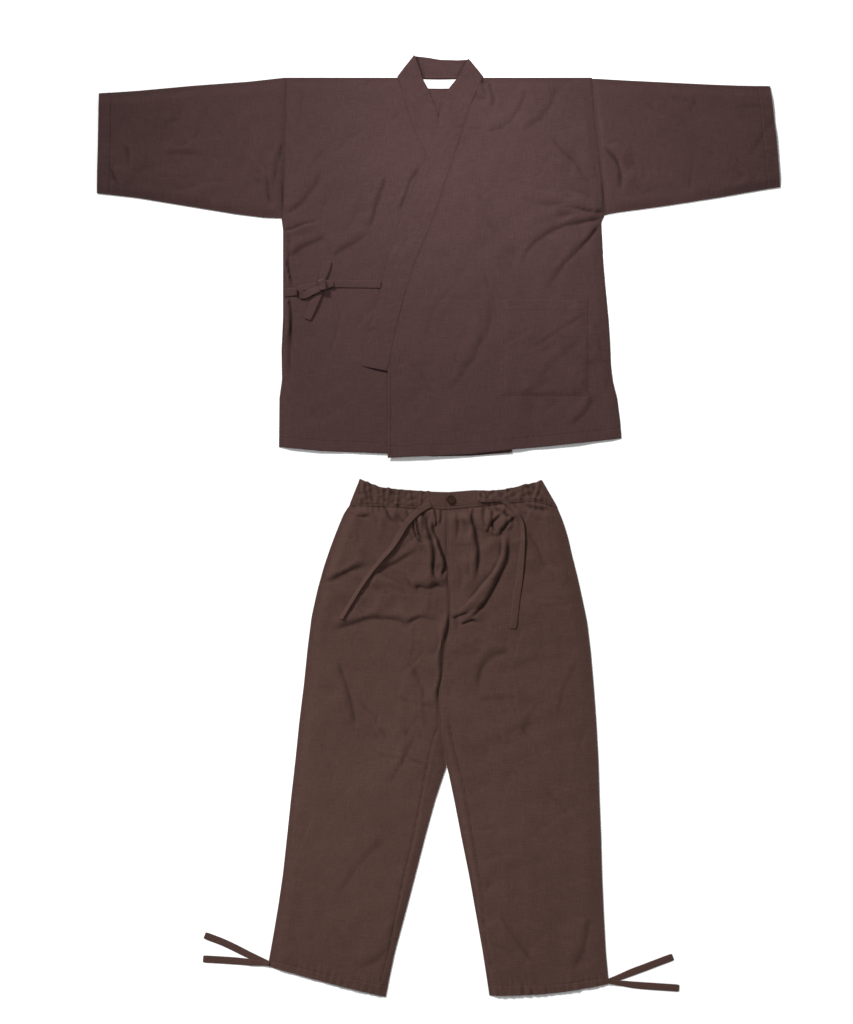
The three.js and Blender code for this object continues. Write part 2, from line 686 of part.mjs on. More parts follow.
// Waistband: one doubled strip round the waist, parted at the fly
function waistband() {
  const { before, opening, after } = waistColumns();
  const gap = seamGap / 2 / (waistLower[8].x - waistLower[0].x);
  const backSteps = 8;
  const turnMid = doubled + doubled / 2 + 0.6;
  const middle = [];
  for (let i = 0; i <= waistRows; i += 1) {
    const rise = i / waistRows;
    const place = (share, z) => {
      const lowX = mix(waistLower[0].x + turnMid / 2, waistLower[8].x - turnMid / 2, share);
      const highX = mix(waistUpper[0].x + turnMid / 2, waistUpper[10].x - turnMid / 2, share);
      const lowY = look(waistLower, 'x', 'y', lowX);
      const highY = look(waistUpper, 'x', 'y', highX);
      return new THREE.Vector3(mix(lowX, highX, rise), mix(lowY, highY, rise), z);
    };
    const frontZ = (column) => {
      const edge = soft(Math.min(column.share, 1 - column.share) * 20);
      return mix(turnMid, waistMid, edge) + 2 * gatherHeight * column.up * edge;
    };
    const turn = (share, towards) => {
      const radius = (turnMid - doubled / 2) / 2;
      const points = [];
      for (let k = 1; k < foldSteps; k += 1) {
        const angle = (Math.PI * k) / foldSteps;
        const p = place(share, doubled / 2 + radius * (1 + Math.cos(angle)));
        p.x += towards * radius * Math.sin(angle);
        points.push(p);
      }
      return points;
    };
    const row = [place(opening + gap, waistMid)];
    after.forEach((column) => row.push(place(column.share, frontZ(column))));
    row.push(...turn(1, 1));
    for (let j = 0; j <= backSteps; j += 1) {
      row.push(place(1 - j / backSteps, doubled / 2));
    }
    row.push(...turn(0, -1).reverse());
    before.forEach((column) => row.push(place(column.share, frontZ(column))));
    row.push(place(opening - gap, waistMid));
    middle.push(row);
  }
  return clothWall('waistband', middle, doubled, trouserCloth());
}

// Flat tie along a middle line, at its rows' own height or at one worked out for each row
function tie(name, path, height, material) {
  const across = path.map((p, i) => {
    const a = path[Math.max(i - 1, 0)];
    const b = path[Math.min(i + 1, path.length - 1)];
    const away = new THREE.Vector2(-(b.y - a.y), b.x - a.x).normalize();
    return away.multiplyScalar((p.width ?? tieWidth) / 2);
  });
  const middle = path.map((p, i) => [-1, 0, 1].map((side) => {
    const x = p.x + side * across[i].x;
    const y = p.y + side * across[i].y;
    return new THREE.Vector3(x, y, p.z ?? height(p.x, p.y));
  }));
  return flatWall(name, middle, tieThick, material);
}

// Waist ties lie on the gathers, then on the legs
function waistTies() {
  const over = (x, y) => {
    const band = waistMid + doubled / 2 + 2 * gatherHeight;
    const gathers = 2 * gatherHeight * Math.exp(-Math.max(0, 35 - y) / 55);
    const leg = foldMid + 0.9 + cloth / 2 + gathers;
    const folds = Math.max(lift(x, y, legRightFolds), lift(x, y, legLeftFolds));
    const onBand = soft((y - 5) / 35);
    return mix(leg + folds + 0.7, band, onBand) + tieThick / 2 + seamGap;
  };
  return [
    tie('waist_tie_right', waistTieRight, over, trouserCloth()),
    tie('waist_tie_left', waistTieLeft, over, trouserCloth()),
  ];
}

function hemTies() {
  return Object.entries(ankleTies).map(([name, path]) => (
    tie(name, path, null, trouserCloth())
  ));
}

// Jacket ties: two flat ends meeting at the knot, its two tails, its loop and the knot itself
function bow() {
  const laid = (x, y) => underHeight(x, y) + cloth / 2 + tieThick / 2 + knot.clear;
  const pieces = Object.entries(bowPieces).map(([name, path]) => tie(name, path, laid, jacketCloth()));
  const shape = new THREE.SphereGeometry(1, 14, 8);
  shape.rotateX(Math.PI / 2);
  const base = underHeight(knot.x, knot.y) + cloth / 2 + knot.clear;
  shape.scale(knot.radiusX, knot.radiusY, knot.height / 2);
  shape.translate(knot.x, knot.y, base + knot.height / 2);
  pieces.push(welded('bow_knot', shape, jacketCloth()));
  return pieces;
}

// Mesh with its equal points joined and empty triangles dropped
function welded(name, source, material) {
  const from = source.toNonIndexed().attributes.position;
  const seen = new Map();
  const positions = [];
  const index = [];
  for (let k = 0; k < from.count; k += 3) {
    const corners = [0, 1, 2].map((c) => {
      const p = [from.getX(k + c), from.getY(k + c), from.getZ(k + c)].map(round4);
      const key = p.map((v) => Math.round(v * 1e3)).join();
      if (!seen.has(key)) {
        seen.set(key, seen.size);
        positions.push(...p);
      }
      return seen.get(key);
    });
    if (new Set(corners).size === 3) {
      index.push(...corners);
    }
  }
  const geometry = new THREE.BufferGeometry();
  geometry.setAttribute('position', new THREE.Float32BufferAttribute(positions, 3));
  geometry.setIndex(index);
  geometry.computeVertexNormals();
  const mesh = new THREE.Mesh(geometry, material);
  mesh.name = name;
  return mesh;
}

// Round four-hole button with a raised rim, on the waistband's end
function waistButton() {
  const rim = 1.6;
  const dish = 0.7;
  const profile = [
    [0, 0], [button.radius - 0.7, 0], [button.radius, 0.8], [button.radius, button.thick - 0.6],
    [button.radius - 0.6, button.thick], [button.radius - rim, button.thick],
    [button.radius - rim - 0.6, button.thick - dish], [0, button.thick - dish],
  ].map(([x, y]) => new THREE.Vector2(x, y));
  const round = new THREE.LatheGeometry(profile, 28);
  round.rotateX(Math.PI / 2);
  let body = toManifold(welded('disc', round, buttonResin()).geometry);
  for (const [sx, sy] of [[-1, -1], [-1, 1], [1, -1], [1, 1]]) {
    const drill = new THREE.CylinderGeometry(button.holeRadius, button.holeRadius, 12, 10);
    drill.rotateX(Math.PI / 2);
    drill.translate(sx * button.holeOut, sy * button.holeOut, 0);
    body = body.subtract(toManifold(welded('drill', drill, buttonResin()).geometry));
  }
  const out = body.getMesh();
  const geometry = new THREE.BufferGeometry();
  geometry.setAttribute('position', new THREE.Float32BufferAttribute(Array.from(out.vertProperties), 3));
  geometry.setIndex(Array.from(out.triVerts));
  geometry.translate(button.x, button.y, waistMid + doubled / 2 + seamGap);
  return welded('button', geometry, buttonResin());
}

function toManifold(geometry) {
  return new wasm.Manifold(new wasm.Mesh({
    numProp: 3,
    vertProperties: new Float32Array(geometry.attributes.position.array),
    triVerts: new Uint32Array(geometry.index.array),
  }));
}

const group = new THREE.Group();
group.name = 'samue_set';
group.add(
  back(),
  frontRight(),
  frontLeft(),
  sleeve('sleeve_right', sleeveRight, sleeveRightFolds, -1),
  sleeve('sleeve_left', sleeveLeft, sleeveLeftFolds, 1),
  ...collarBands(),
  collarBack(),
  neckLabel(),
  patchPocket(),
  ...bow(),
  leg('leg_right', legRight, -1, hemBulge.right, legRightFolds),
  leg('leg_left', legLeft, 1, hemBulge.left, legLeftFolds),
  waistband(),
  waistButton(),
  ...waistTies(),
  ...hemTies(),
);

export default group;
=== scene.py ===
import bpy
import numpy as np
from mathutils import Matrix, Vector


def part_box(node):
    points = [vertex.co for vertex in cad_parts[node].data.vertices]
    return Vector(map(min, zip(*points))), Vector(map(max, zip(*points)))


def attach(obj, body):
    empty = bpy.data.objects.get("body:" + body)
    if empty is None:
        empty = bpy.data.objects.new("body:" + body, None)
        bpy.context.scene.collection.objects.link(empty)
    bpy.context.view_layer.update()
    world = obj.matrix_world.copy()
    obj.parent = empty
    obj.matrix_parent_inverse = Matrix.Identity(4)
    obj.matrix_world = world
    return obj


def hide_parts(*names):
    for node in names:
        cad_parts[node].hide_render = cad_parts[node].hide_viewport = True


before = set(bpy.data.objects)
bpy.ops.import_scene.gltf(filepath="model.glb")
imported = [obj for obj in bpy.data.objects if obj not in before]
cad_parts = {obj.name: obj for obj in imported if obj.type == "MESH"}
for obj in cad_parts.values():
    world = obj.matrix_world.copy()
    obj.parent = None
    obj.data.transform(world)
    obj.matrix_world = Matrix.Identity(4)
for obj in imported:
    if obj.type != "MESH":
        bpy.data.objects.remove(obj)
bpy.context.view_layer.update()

metre = 0.001


# value from a to b at share t
def mix(a, b, t):
    return a + (b - a) * t


# rises smoothly from 0 to 1: 3t^2 - 2t^3
def soft(t):
    t = np.clip(t, 0, 1)
    return t * t * (3 - 2 * t)


# bell curve: e to the power of minus t squared
def bell(t):
    return np.exp(-t ** 2)


# the larger of two heights, with a rounded change k wide
def overAtLeast(z, low, k=0.5):
    return 0.5 * (z + low + np.sqrt((z - low) ** 2 + k * k))


# a column of a table at a value of its first: the mean of three readings, so corners are rounded and ends exact
def look(table, value, column=1, ease=4.0):
    rows = np.array(table, float)
    rows = rows[np.argsort(rows[:, 0])]
    room = np.clip(np.minimum(value - rows[0, 0], rows[-1, 0] - value), 0, ease)
    read = [np.interp(value + step * room, rows[:, 0], rows[:, column]) for step in (-1, 0, 1)]
    return (read[0] + read[1] + read[2]) / 3


# smooth line through points: the usual cubic through each four, count points along it
def curveThrough(points, count):
    p = np.asarray(points, float)
    ends = np.vstack([2 * p[0] - p[1], p, 2 * p[-1] - p[-2]])
    at = np.linspace(0, len(p) - 1, count)
    i = np.minimum(at.astype(int), len(p) - 2)
    t = (at - i)[:, None]
    a, b, c, d = ends[i], ends[i + 1], ends[i + 2], ends[i + 3]
    return 0.5 * (2 * b + (c - a) * t + (2 * a - 5 * b + 4 * c - d) * t ** 2 + (3 * b - a - 3 * c + d) * t ** 3)


# uneven ground of about one size: a sum of cosines with drawn directions, sizes and phases
def waves(x, y, size, seed, count=18):
    draw = np.random.default_rng(seed)
    angle = draw.uniform(0, 2 * np.pi, count)
    length = size * draw.uniform(0.7, 1.6, count)
    phase = draw.uniform(0, 2 * np.pi, count)
    total = np.zeros(np.broadcast(x, y).shape)
    for a, s, p in zip(angle, length, phase):
        total += np.cos(2 * np.pi * (x * np.cos(a) + y * np.sin(a)) / s + p)
    return total * np.sqrt(2 / count)


# length along a line at each of its points, from 0
def lengthsAlong(line):
    return np.concatenate([[0], np.cumsum(np.linalg.norm(np.diff(line, axis=0), axis=1))])


# nearest place on a line for each point: distance, side and share along
def nearLine(px, py, line):
    best = np.full(px.shape, 1e9)
    side = np.zeros(px.shape)
    share = np.zeros(px.shape)
    for k in range(len(line) - 1):
        a = line[k]
        d = line[k + 1] - a
        t = np.clip(((px - a[0]) * d[0] + (py - a[1]) * d[1]) / (d @ d), 0, 1)
        ox = px - a[0] - t * d[0]
        oy = py - a[1] - t * d[1]
        far = np.hypot(ox, oy)
        closer = far < best
        best = np.where(closer, far, best)
        side = np.where(closer, np.sign(d[0] * oy - d[1] * ox), side)
        share = np.where(closer, (k + t) / (len(line) - 1), share)
    return best, side, share


# small creases of a panel, as rows for its table: each from a seeded place along a seeded direction, bowed
def fineCreases(count, left, right, lower, upper, seed, lean=0.6):
    draw = np.random.default_rng(seed)
    table = []
    while len(table) < count:
        x, y = draw.uniform(left, right), draw.uniform(lower, upper)
        angle = draw.normal(lean, 0.75)
        length = draw.uniform(35, 150)
        bend = draw.uniform(-0.09, 0.09) * length
        dx, dy = np.cos(angle), np.sin(angle)
        bowed = (x + dx * length / 2 - dy * bend, y + dy * length / 2 + dx * bend)
        line = [(x, y), bowed, (x + dx * length, y + dy * length)]
        depth, width, roll = draw.uniform(0.25, 0.85), draw.uniform(4.0, 9.0), int(draw.integers(-1, 2))
        table.append((depth, width, roll, line))
    return table


# height of the creases at each point: a trough along each line with softer ridges by it, fading at both ends
def creaseLift(x, y, table, gain=1.0, soften=1.0, wander=1.3):
    x, y = np.broadcast_arrays(x, y)
    x, y = x + wander * waves(x, y, 60, 501, 8), y + wander * waves(x, y, 60, 503, 8)
    total = np.zeros(x.shape)
    for n, (depth, width, roll, points) in enumerate(table):
        line = curveThrough(points, 7 * len(points))
        low, high = line.min(0) - 5 * width, line.max(0) + 5 * width
        near = (x > low[0]) & (x < high[0]) & (y > low[1]) & (y < high[1])
        if not near.any():
            continue
        px, py = x[near], y[near]
        far, side, share = nearLine(px, py, line)
        uneven = waves(px, py, 45, 300 + n, 6)
        q = far * side / (width * soften * (1 + 0.18 * uneven)) * (roll or 1)
        away = np.sqrt(q * q + 0.2) - 0.4
        if roll:
            # a sharp valley, a steep rise on the fold's side to its crest and a long slope behind it
            foldSide = soft((q + 0.35) / 0.7)
            crest = (1 - np.exp(-away / 0.5)) * np.exp(-away / 1.5) * mix(0.25, 1.9, foldSide)
            form = crest - 0.5 * np.exp(-away / mix(0.8, 0.4, foldSide))
        else:
            # a sharp valley between two low swells
            form = 0.45 * np.exp(-away / 2.0) - 0.85 * np.exp(-away / 0.65)
        fade = soft(share / 0.12) * soft((1 - share) / 0.34)
        total[near] += gain * depth * (1 + 0.12 * uneven) * fade * form
    return total


# places along a length, about one spacing apart, with closer ones where a seam or a stitched line needs them
def places(length, spacing, fine=()):
    even = np.linspace(0, length, max(3, int(round(length / spacing)) + 1))
    extra = [d + step for d in fine for step in (-2.4, -1.2, -0.5, 0, 0.5, 1.2, 2.4)]
    every = np.unique(np.clip(np.round(np.concatenate([even, extra]), 3), 0, length))
    keep = [every[0]]
    for value in every[1:]:
        if value - keep[-1] > 0.35:
            keep.append(value)
    keep[-1] = length
    return np.array(keep) / length


# a stitched line presses the cloth down in a narrow groove that puckers a little along its length
def stitchDip(away, along, seed, depth=0.4, width=1.1):
    pucker = waves(along, along * 0, 11, seed, 8)
    return -depth * bell(away / width) + 0.13 * pucker * bell(away / 5)


# finishes: colours of each cloth, its mean, its darkest and where it is rubbed; the seed shifts its noise
weaveSize = 0.0011  # one thread over and under
cloths = {
    "jacket": {
        "colour": (0.0507, 0.0259, 0.0250), "dark": (0.0368, 0.0174, 0.0168), "worn": (0.070, 0.039, 0.038),
        "seed": 0.0,
    },
    "trousers": {
        "colour": (0.0596, 0.0307, 0.0250), "dark": (0.0432, 0.0207, 0.0164), "worn": (0.080, 0.045, 0.038),
        "seed": 3.7,
    },
}
# the output that other nodes read, where it isn't the first
outputOf = {"TexNoise": "Fac", "TexWave": "Fac", "Attribute": "Fac", "TexCoord": "Object", "Mix": 2}


# sets inputs of a node: another node's output is joined, anything else is the input's own value
def feed(tree, node, inputs):
    for key, value in inputs.items():
        if isinstance(value, bpy.types.NodeSocket):
            tree.links.new(value, node.inputs[key])
        else:
            node.inputs[key].default_value = value


# a new node with its settings and inputs, read by its output
def linked(tree, kind, inputs, **settings):
    node = tree.nodes.new("ShaderNode" + kind)
    for key, value in settings.items():
        setattr(node, key, value)
    feed(tree, node, inputs)
    return node.outputs[outputOf.get(kind, 0)]


# mixed colour: one at share 0, the other at share 1
def blend(tree, share, one, other):
    ends = [c if isinstance(c, bpy.types.NodeSocket) else (*c, 1) for c in (one, other)]
    return linked(tree, "Mix", {0: share, 6: ends[0], 7: ends[1]}, data_type="RGBA")


# a new material with its node tree and its surface shader
def shaderOf(name):
    material = bpy.data.materials.new(name)
    material.use_nodes = True
    return material, material.node_tree, material.node_tree.nodes["Principled BSDF"]


# woven cotton: uneven dye, thick and thin threads both ways, a plain weave, soft crumple, paler worn edges and
# painted shade in creases, seams and beside laid bands
def wovenCloth(name, dyes):
    material, tree, surface = shaderOf(name)
    flat = linked(tree, "UVMap", {})
    shift = linked(tree, "Mapping", {
        "Vector": linked(tree, "TexCoord", {}), "Location": (dyes["seed"], dyes["seed"] * 0.6, 0)})
    dye = linked(tree, "TexNoise", {"Vector": shift, "Scale": 7.0, "Detail": 4.0, "Roughness": 0.6})
    mottle = linked(tree, "TexNoise", {"Vector": shift, "Scale": 420.0, "Detail": 2.0, "Roughness": 0.6})
    slubs = []
    for stretch in ((900, 38, 1), (38, 900, 1)):
        place = linked(tree, "Mapping", {"Vector": flat, "Scale": stretch})
        slubs.append(linked(tree, "TexNoise", {
            "Vector": place, "Scale": 1.0, "Detail": 2.0, "Roughness": 0.5}))
    threads = linked(tree, "Math", {0: slubs[0], 1: slubs[1]}, operation="ADD")
    tone = linked(tree, "Math", {0: threads, 1: 1.1, 2: mottle}, operation="MULTIPLY_ADD")
    tone = linked(tree, "Math", {0: dye, 1: 0.45, 2: tone}, operation="MULTIPLY_ADD")
    share = linked(tree, "MapRange", {"Value": tone, "From Min": 1.25, "From Max": 2.40})
    pale = [2 * c - d for c, d in zip(dyes["colour"], dyes["dark"])]
    colour = blend(tree, share, dyes["dark"], pale)
    wear = linked(tree, "Attribute", {}, attribute_name="wear")
    rubbed = linked(tree, "Math", {0: wear, 1: mottle}, operation="MULTIPLY")
    colour = blend(tree, rubbed, colour, dyes["worn"])
    # painted shade: the colour darkens towards a third of the darkest dye in creases, seams and beside laid
    # bands
    paintedHollowShade = linked(tree, "Attribute", {}, attribute_name="paintedHollowShade")
    colour = blend(tree, paintedHollowShade, colour, [0.35 * c for c in dyes["dark"]])
    # plain weave: two rows of threads crossing, over the uneven threads and a soft crumple
    rows = [
        linked(tree, "TexWave", {
            "Vector": flat, "Scale": np.pi / (20 * weaveSize), "Distortion": 1.2, "Detail": 1.0,
            "Detail Scale": 1.5}, bands_direction=direction, wave_profile="SIN")
        for direction in ("X", "Y")
    ]
    weave = linked(tree, "Math", {0: rows[0], 1: rows[1]}, operation="MULTIPLY")
    nap = linked(tree, "Math", {0: weave, 1: threads}, operation="ADD")
    close = linked(tree, "Bump", {"Strength": 0.5, "Distance": 0.0003, "Height": nap})
    crumple = linked(tree, "TexNoise", {
        "Vector": shift, "Scale": 48.0, "Detail": 2.0, "Roughness": 0.5, "Distortion": 0.6})
    broad = linked(tree, "Bump", {"Strength": 0.30, "Distance": 0.0014, "Height": crumple, "Normal": close})
    feed(tree, surface, {
        "Base Color": colour, "Normal": broad, "Specular IOR Level": 0.12, "Sheen Weight": 0.06,
        "Roughness": linked(tree, "MapRange", {"Value": mottle, "To Min": 0.84, "To Max": 0.97}),
        "Sheen Roughness": 0.5, "Sheen Tint": (1.0, 0.75, 0.68, 1),
    })
    return material


# sewing thread: its colour 0.6 to 1.4 times over its twist, with a small swell
def sewingThread(name, colour):
    material, tree, surface = shaderOf(name)
    twist = linked(tree, "TexNoise", {"Vector": linked(tree, "TexCoord", {}), "Scale": 2600.0, "Detail": 2.0})
    feed(tree, surface, {
        "Base Color": blend(tree, twist, [0.6 * c for c in colour], [1.4 * c for c in colour]),
        "Normal": linked(tree, "Bump", {"Distance": 0.0001, "Height": twist}),
        "Roughness": 0.7, "Specular IOR Level": 0.15,
    })
    return material


# bare woven label: tight white satin rows, a little soiled
def labelWeave(name):
    material, tree, surface = shaderOf(name)
    flat = linked(tree, "UVMap", {})
    rows = linked(tree, "TexWave", {"Vector": flat, "Scale": 520.0, "Distortion": 0.8}, bands_direction="Y")
    soil = linked(tree, "TexNoise", {"Vector": flat, "Scale": 160.0, "Detail": 3.0})
    feed(tree, surface, {
        "Base Color": blend(tree, soil, (0.70, 0.69, 0.67), (0.90, 0.89, 0.88)),
        "Normal": linked(tree, "Bump", {"Strength": 0.4, "Distance": 0.00015, "Height": rows}),
        "Roughness": 0.6,
    })
    return material


# resin button: clouded dark brown, softly polished, scuffed
def buttonResin(name):
    material, tree, surface = shaderOf(name)
    place = linked(tree, "TexCoord", {})
    cloud = linked(tree, "TexNoise", {"Vector": place, "Scale": 240.0, "Detail": 4.0, "Distortion": 1.2})
    scuff = linked(tree, "TexNoise", {"Vector": place, "Scale": 900.0, "Detail": 3.0})
    feed(tree, surface, {
        "Base Color": blend(tree, cloud, (0.014, 0.006, 0.004), (0.046, 0.019, 0.013)),
        "Normal": linked(tree, "Bump", {"Strength": 0.2, "Distance": 0.0001, "Height": scuff}),
        "Roughness": linked(tree, "MapRange", {"Value": scuff, "To Min": 0.38, "To Max": 0.62}),
        "Specular IOR Level": 0.08,
    })
    return material


jacketCloth = wovenCloth("jacket_woven_cotton", cloths["jacket"])
trouserCloth = wovenCloth("trouser_woven_cotton", cloths["trousers"])
# the jacket and trouser threads are set darker than their cloth: painted shade of the small hollow at each
# stitch
jacketThread = sewingThread("jacket_sewing_thread", (0.040, 0.021, 0.020))
trouserThread = sewingThread("trouser_sewing_thread", (0.042, 0.022, 0.018))
buttonThread = sewingThread("button_thread", (0.045, 0.026, 0.022))
labelThread = sewingThread("label_thread", (0.55, 0.54, 0.52))
labelFinish = labelWeave("bare_label_weave")
resinFinish = buttonResin("brown_button_resin")
print("finishes made")


# heights of everything laid so far on a 2 mm grid, so that what lies on top can be set on it
ground = {"x0": -700.0, "y0": -950.0, "cell": 2.0, "z": np.zeros((951, 701))}


# height of the pieces below a point, between the four grid cells round it
def groundAt(x, y):
    u = (np.asarray(x, float) - ground["x0"]) / ground["cell"]
    v = (np.asarray(y, float) - ground["y0"]) / ground["cell"]
    i = np.clip(u.astype(int), 0, ground["z"].shape[1] - 2)
    j = np.clip(v.astype(int), 0, ground["z"].shape[0] - 2)
    z = ground["z"]
    low = mix(z[j, i], z[j, i + 1], u - i)
    high = mix(z[j + 1, i], z[j + 1, i + 1], u - i)
    return mix(low, high, v - j)


# keeps a grid's highest points in the ground: the grid is read four times as close as its own rows and columns
def addToGround(top):
    rows, cols = top.shape[:2]
    r = np.linspace(0, rows - 1, 4 * rows)
    c = np.linspace(0, cols - 1, 4 * cols)
    i = np.minimum(r.astype(int), rows - 2)[:, None]
    j = np.minimum(c.astype(int), cols - 2)[None, :]
    s = r[:, None, None] - i[..., None]
    t = c[None, :, None] - j[..., None]
    every = mix(mix(top[i, j], top[i, j + 1], t), mix(top[i + 1, j], top[i + 1, j + 1], t), s).reshape(-1, 3)
    at = np.round((every[:, :2] - (ground["x0"], ground["y0"])) / ground["cell"]).astype(int)
    inside = ((at >= 0) & (at < ground["z"].T.shape)).all(axis=1)
    np.maximum.at(ground["z"], (at[inside, 1], at[inside, 0]), every[inside, 2])


# new object that shows some data, put into the scene
def newObject(name, data):
    made = bpy.data.objects.new(name, data)
    bpy.context.scene.collection.objects.link(made)
    return made


# mesh from points in millimetres and faces of any one size, with a flat map and values kept for each point
def meshFrom(name, points, faces, material, flat=None, values=None, sharp=None):
    mesh = bpy.data.meshes.new(name)
    mesh.vertices.add(len(points))
    mesh.vertices.foreach_set("co", (np.asarray(points) * metre).astype(np.float32).ravel())
    corners = faces.shape[1]
    mesh.loops.add(faces.size)
    mesh.loops.foreach_set("vertex_index", faces.astype(np.int32).ravel())
    mesh.polygons.add(len(faces))
    mesh.polygons.foreach_set("loop_start", np.arange(0, faces.size, corners, dtype=np.int32))
    mesh.polygons.foreach_set("use_smooth", np.ones(len(faces), bool))
    mesh.update(calc_edges=True)
    if flat is not None:
        layer = mesh.uv_layers.new(name="flat")
        layer.data.foreach_set("uv", (flat[faces.ravel()] * metre).astype(np.float32).ravel())
    for key, value in (values or {}).items():
        mesh.attributes.new(key, "FLOAT", "POINT").data.foreach_set("value", value.astype(np.float32).ravel())
    if sharp is not None:
        mesh.set_sharp_from_angle(angle=np.radians(sharp))
    mesh.validate()
    mesh.materials.append(material)
    return newObject(name, mesh)


# how far each point sits below the points round it, 0 to 0.8, used as painted shade in creases: the mean height
# of eight points two steps away less its own
def hollowShare(middle, step=2, gain=0.5):
    z = middle[..., 2]
    ring = np.zeros(z.shape)
    padded = np.pad(z, step, mode="edge")
    for dr, dc in ((-1, -1), (-1, 0), (-1, 1), (0, -1), (0, 1), (1, -1), (1, 0), (1, 1)):
        a, b = step + dr * step, step + dc * step
        ring += padded[a:a + z.shape[0], b:b + z.shape[1]] / 8
    inner = np.ones(z.shape)
    inner[:2] = inner[-2:] = 0
    return np.clip((ring - z - 0.08) * gain, 0, 0.8) * inner


# half circle outside each point of an edge: out by radius times sine, down to a level by one plus cosine
def halfTurn(edge, out, low, angle=np.linspace(0, np.pi, 8)[1:-1]):
    radius = (edge[:, 2] - low)[:, None] / 2
    turn = np.repeat(edge[:, None, :], len(angle), axis=1)
    turn[..., 0] += out[0] * radius * np.sin(angle)
    turn[..., 1] += out[1] * radius * np.sin(angle)
    turn[..., 2] = low + radius * (1 + np.cos(angle))
    return turn


# closed cloth: a grid of middle points moved half the thickness out and in along its normals, less at its
# edges; its flat map is X and Y unless another is given; it gets painted shade in its hollows, and more where a
# painted shade is given
def clothShell(name, middle, thick, material, flat=None, wear=None, edge=0.7, up=(0.3, 0.3), paintedShade=0.0):
    rows, cols = middle.shape[:2]
    across = np.gradient(middle, axis=1)
    down = np.gradient(middle, axis=0)
    normal = np.cross(across, down)
    normal /= np.maximum(np.linalg.norm(normal, axis=2, keepdims=True), 1e-9)
    turned = normal[int(rows * up[0]), int(cols * up[1]), 2] < 0
    if turned:
        normal = -normal
    half = np.full((rows, cols), thick / 2)
    for rim in (half[0], half[-1], half[:, 0], half[:, -1]):
        rim *= edge
    top = middle + normal * half[..., None]
    low = middle - normal * half[..., None]
    count = rows * cols
    k = np.arange(count).reshape(rows, cols)
    face = np.stack([k[:-1, :-1], k[:-1, 1:], k[1:, 1:], k[1:, :-1]], axis=-1).reshape(-1, 4)
    if turned:
        face = face[:, ::-1]
    rim = np.concatenate([k[0, :-1], k[:-1, -1], k[-1, :0:-1], k[:0:-1, 0]])
    if turned:
        rim = rim[::-1]
    after = np.roll(rim, -1)
    wall = np.stack([after, rim, rim + count, after + count], axis=-1)
    faces = np.vstack([face, face[:, ::-1] + count, wall])
    points = np.vstack([top.reshape(-1, 3), low.reshape(-1, 3)])
    if wear is None:
        wear = np.zeros((rows, cols))
    # painted shade: darker where a point sits below the points round it, plus the painted shade given
    paintedHollowShade = np.clip(hollowShare(middle) + paintedShade, 0, 0.85).ravel()
    kept = {"wear": np.tile(wear.ravel(), 2), "paintedHollowShade": np.concatenate([paintedHollowShade, np.zeros(count)])}
    addToGround(top)
    flat = middle[..., :2] if flat is None else flat
    return meshFrom(name, points, faces, material, np.tile(flat.reshape(-1, 2), (2, 1)), kept, sharp=50)


# a piece rides on the root and stands for its node, whose solid is hidden
def settle(piece, node):
    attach(piece, "root")
    if node:
        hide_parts(node)


# wear along the cut or folded edges: a bell of the nearest one's distance, 0.45 at it and nothing 3 mm in
def edgeWear(*distances):
    nearest = np.minimum.reduce([np.asarray(d, float) for d in distances])
    return 0.45 * bell(nearest / 1.6)


# ends of the stitches of one row: one every 3.4 mm along its line
def stitchRow(points, long=2.4, gap=1.0):
    line = np.asarray(points, float)
    at = lengthsAlong(line)
    starts = np.arange(0.8, at[-1] - long, long + gap)
    return [np.column_stack([np.interp(t, at, line[:, n]) for n in (0, 1)]) for t in (starts, starts + long)]


# all rows of one garment as one mesh: each stitch a bead of four rings of six points, half sunk into its cloth
def stitches(name, rows, material, thick=0.42):
    first, last = (np.vstack(ends) for ends in zip(*map(stitchRow, rows)))
    a = np.column_stack([first, groundAt(*first.T)])
    b = np.column_stack([last, groundAt(*last.T)])
    run = (b - a) / np.linalg.norm(b - a, axis=1, keepdims=True)
    side = np.cross(np.array([0, 0, 1.0])[None, :], run)
    side /= np.linalg.norm(side, axis=1, keepdims=True)
    up = np.cross(run, side)
    share = np.array([0.0, 0.22, 0.78, 1.0])
    fat = np.array([0.35, 1.0, 1.0, 0.35])
    sink = np.array([-0.16, 0.04, 0.04, -0.16])
    ring = 2 * np.pi * np.arange(6) / 6
    middle = a[:, None, :] + (b - a)[:, None, :] * share[None, :, None] + up[:, None, :] * sink[None, :, None]
    out = side[:, None, :] * np.cos(ring)[None, :, None] + up[:, None, :] * np.sin(ring)[None, :, None]
    points = middle[:, :, None, :] + out[:, None, :, :] * (thick / 2 * fat)[None, :, None, None]
    k = np.arange(24).reshape(4, 6)
    after = np.roll(k, -1, axis=1)
    one = np.stack([k[:-1], k[1:], after[1:], after[:-1]], axis=-1).reshape(-1, 4)
    ends = np.array([(0, 1, 4, 5), (1, 2, 3, 4), (23, 22, 19, 18), (22, 21, 20, 19)])
    one = np.vstack([one[:, ::-1], ends[:, ::-1]])
    faces = (one[None, :, :] + 24 * np.arange(len(a))[:, None, None]).reshape(-1, 4)
    piece = meshFrom(name, points.reshape(-1, 3), faces, material)
    settle(piece, None)


# camera, floor and light: places in metres, angles in degrees, the floor's half side and level in millimetres
view = {"x": -0.0234, "y": 0.0283, "height": 3.883, "lens": 70.0, "sensor": 36.0}
light = {
    "sky": 0.33, "sun": 4.2, "sunHeight": 33.0, "sunFrom": 128.0, "sunSoft": 9.0, "floor": 0.96,
    # soft lamps hung over the jacket's top and the trousers: x, y, height, side, watts
    "lamps": [(0.04, 0.75, 0.47, 0.3, 2.3), (-0.20, -0.48, 0.60, 0.3, 1.2)],
}

cameraData = bpy.data.cameras.new("camera")
cameraData.lens = view["lens"]
cameraData.sensor_width = view["sensor"]
camera = newObject("camera", cameraData)
camera.location = (view["x"], view["y"], view["height"])
bpy.context.scene.camera = camera
bpy.context.scene.view_settings.view_transform = "Standard"

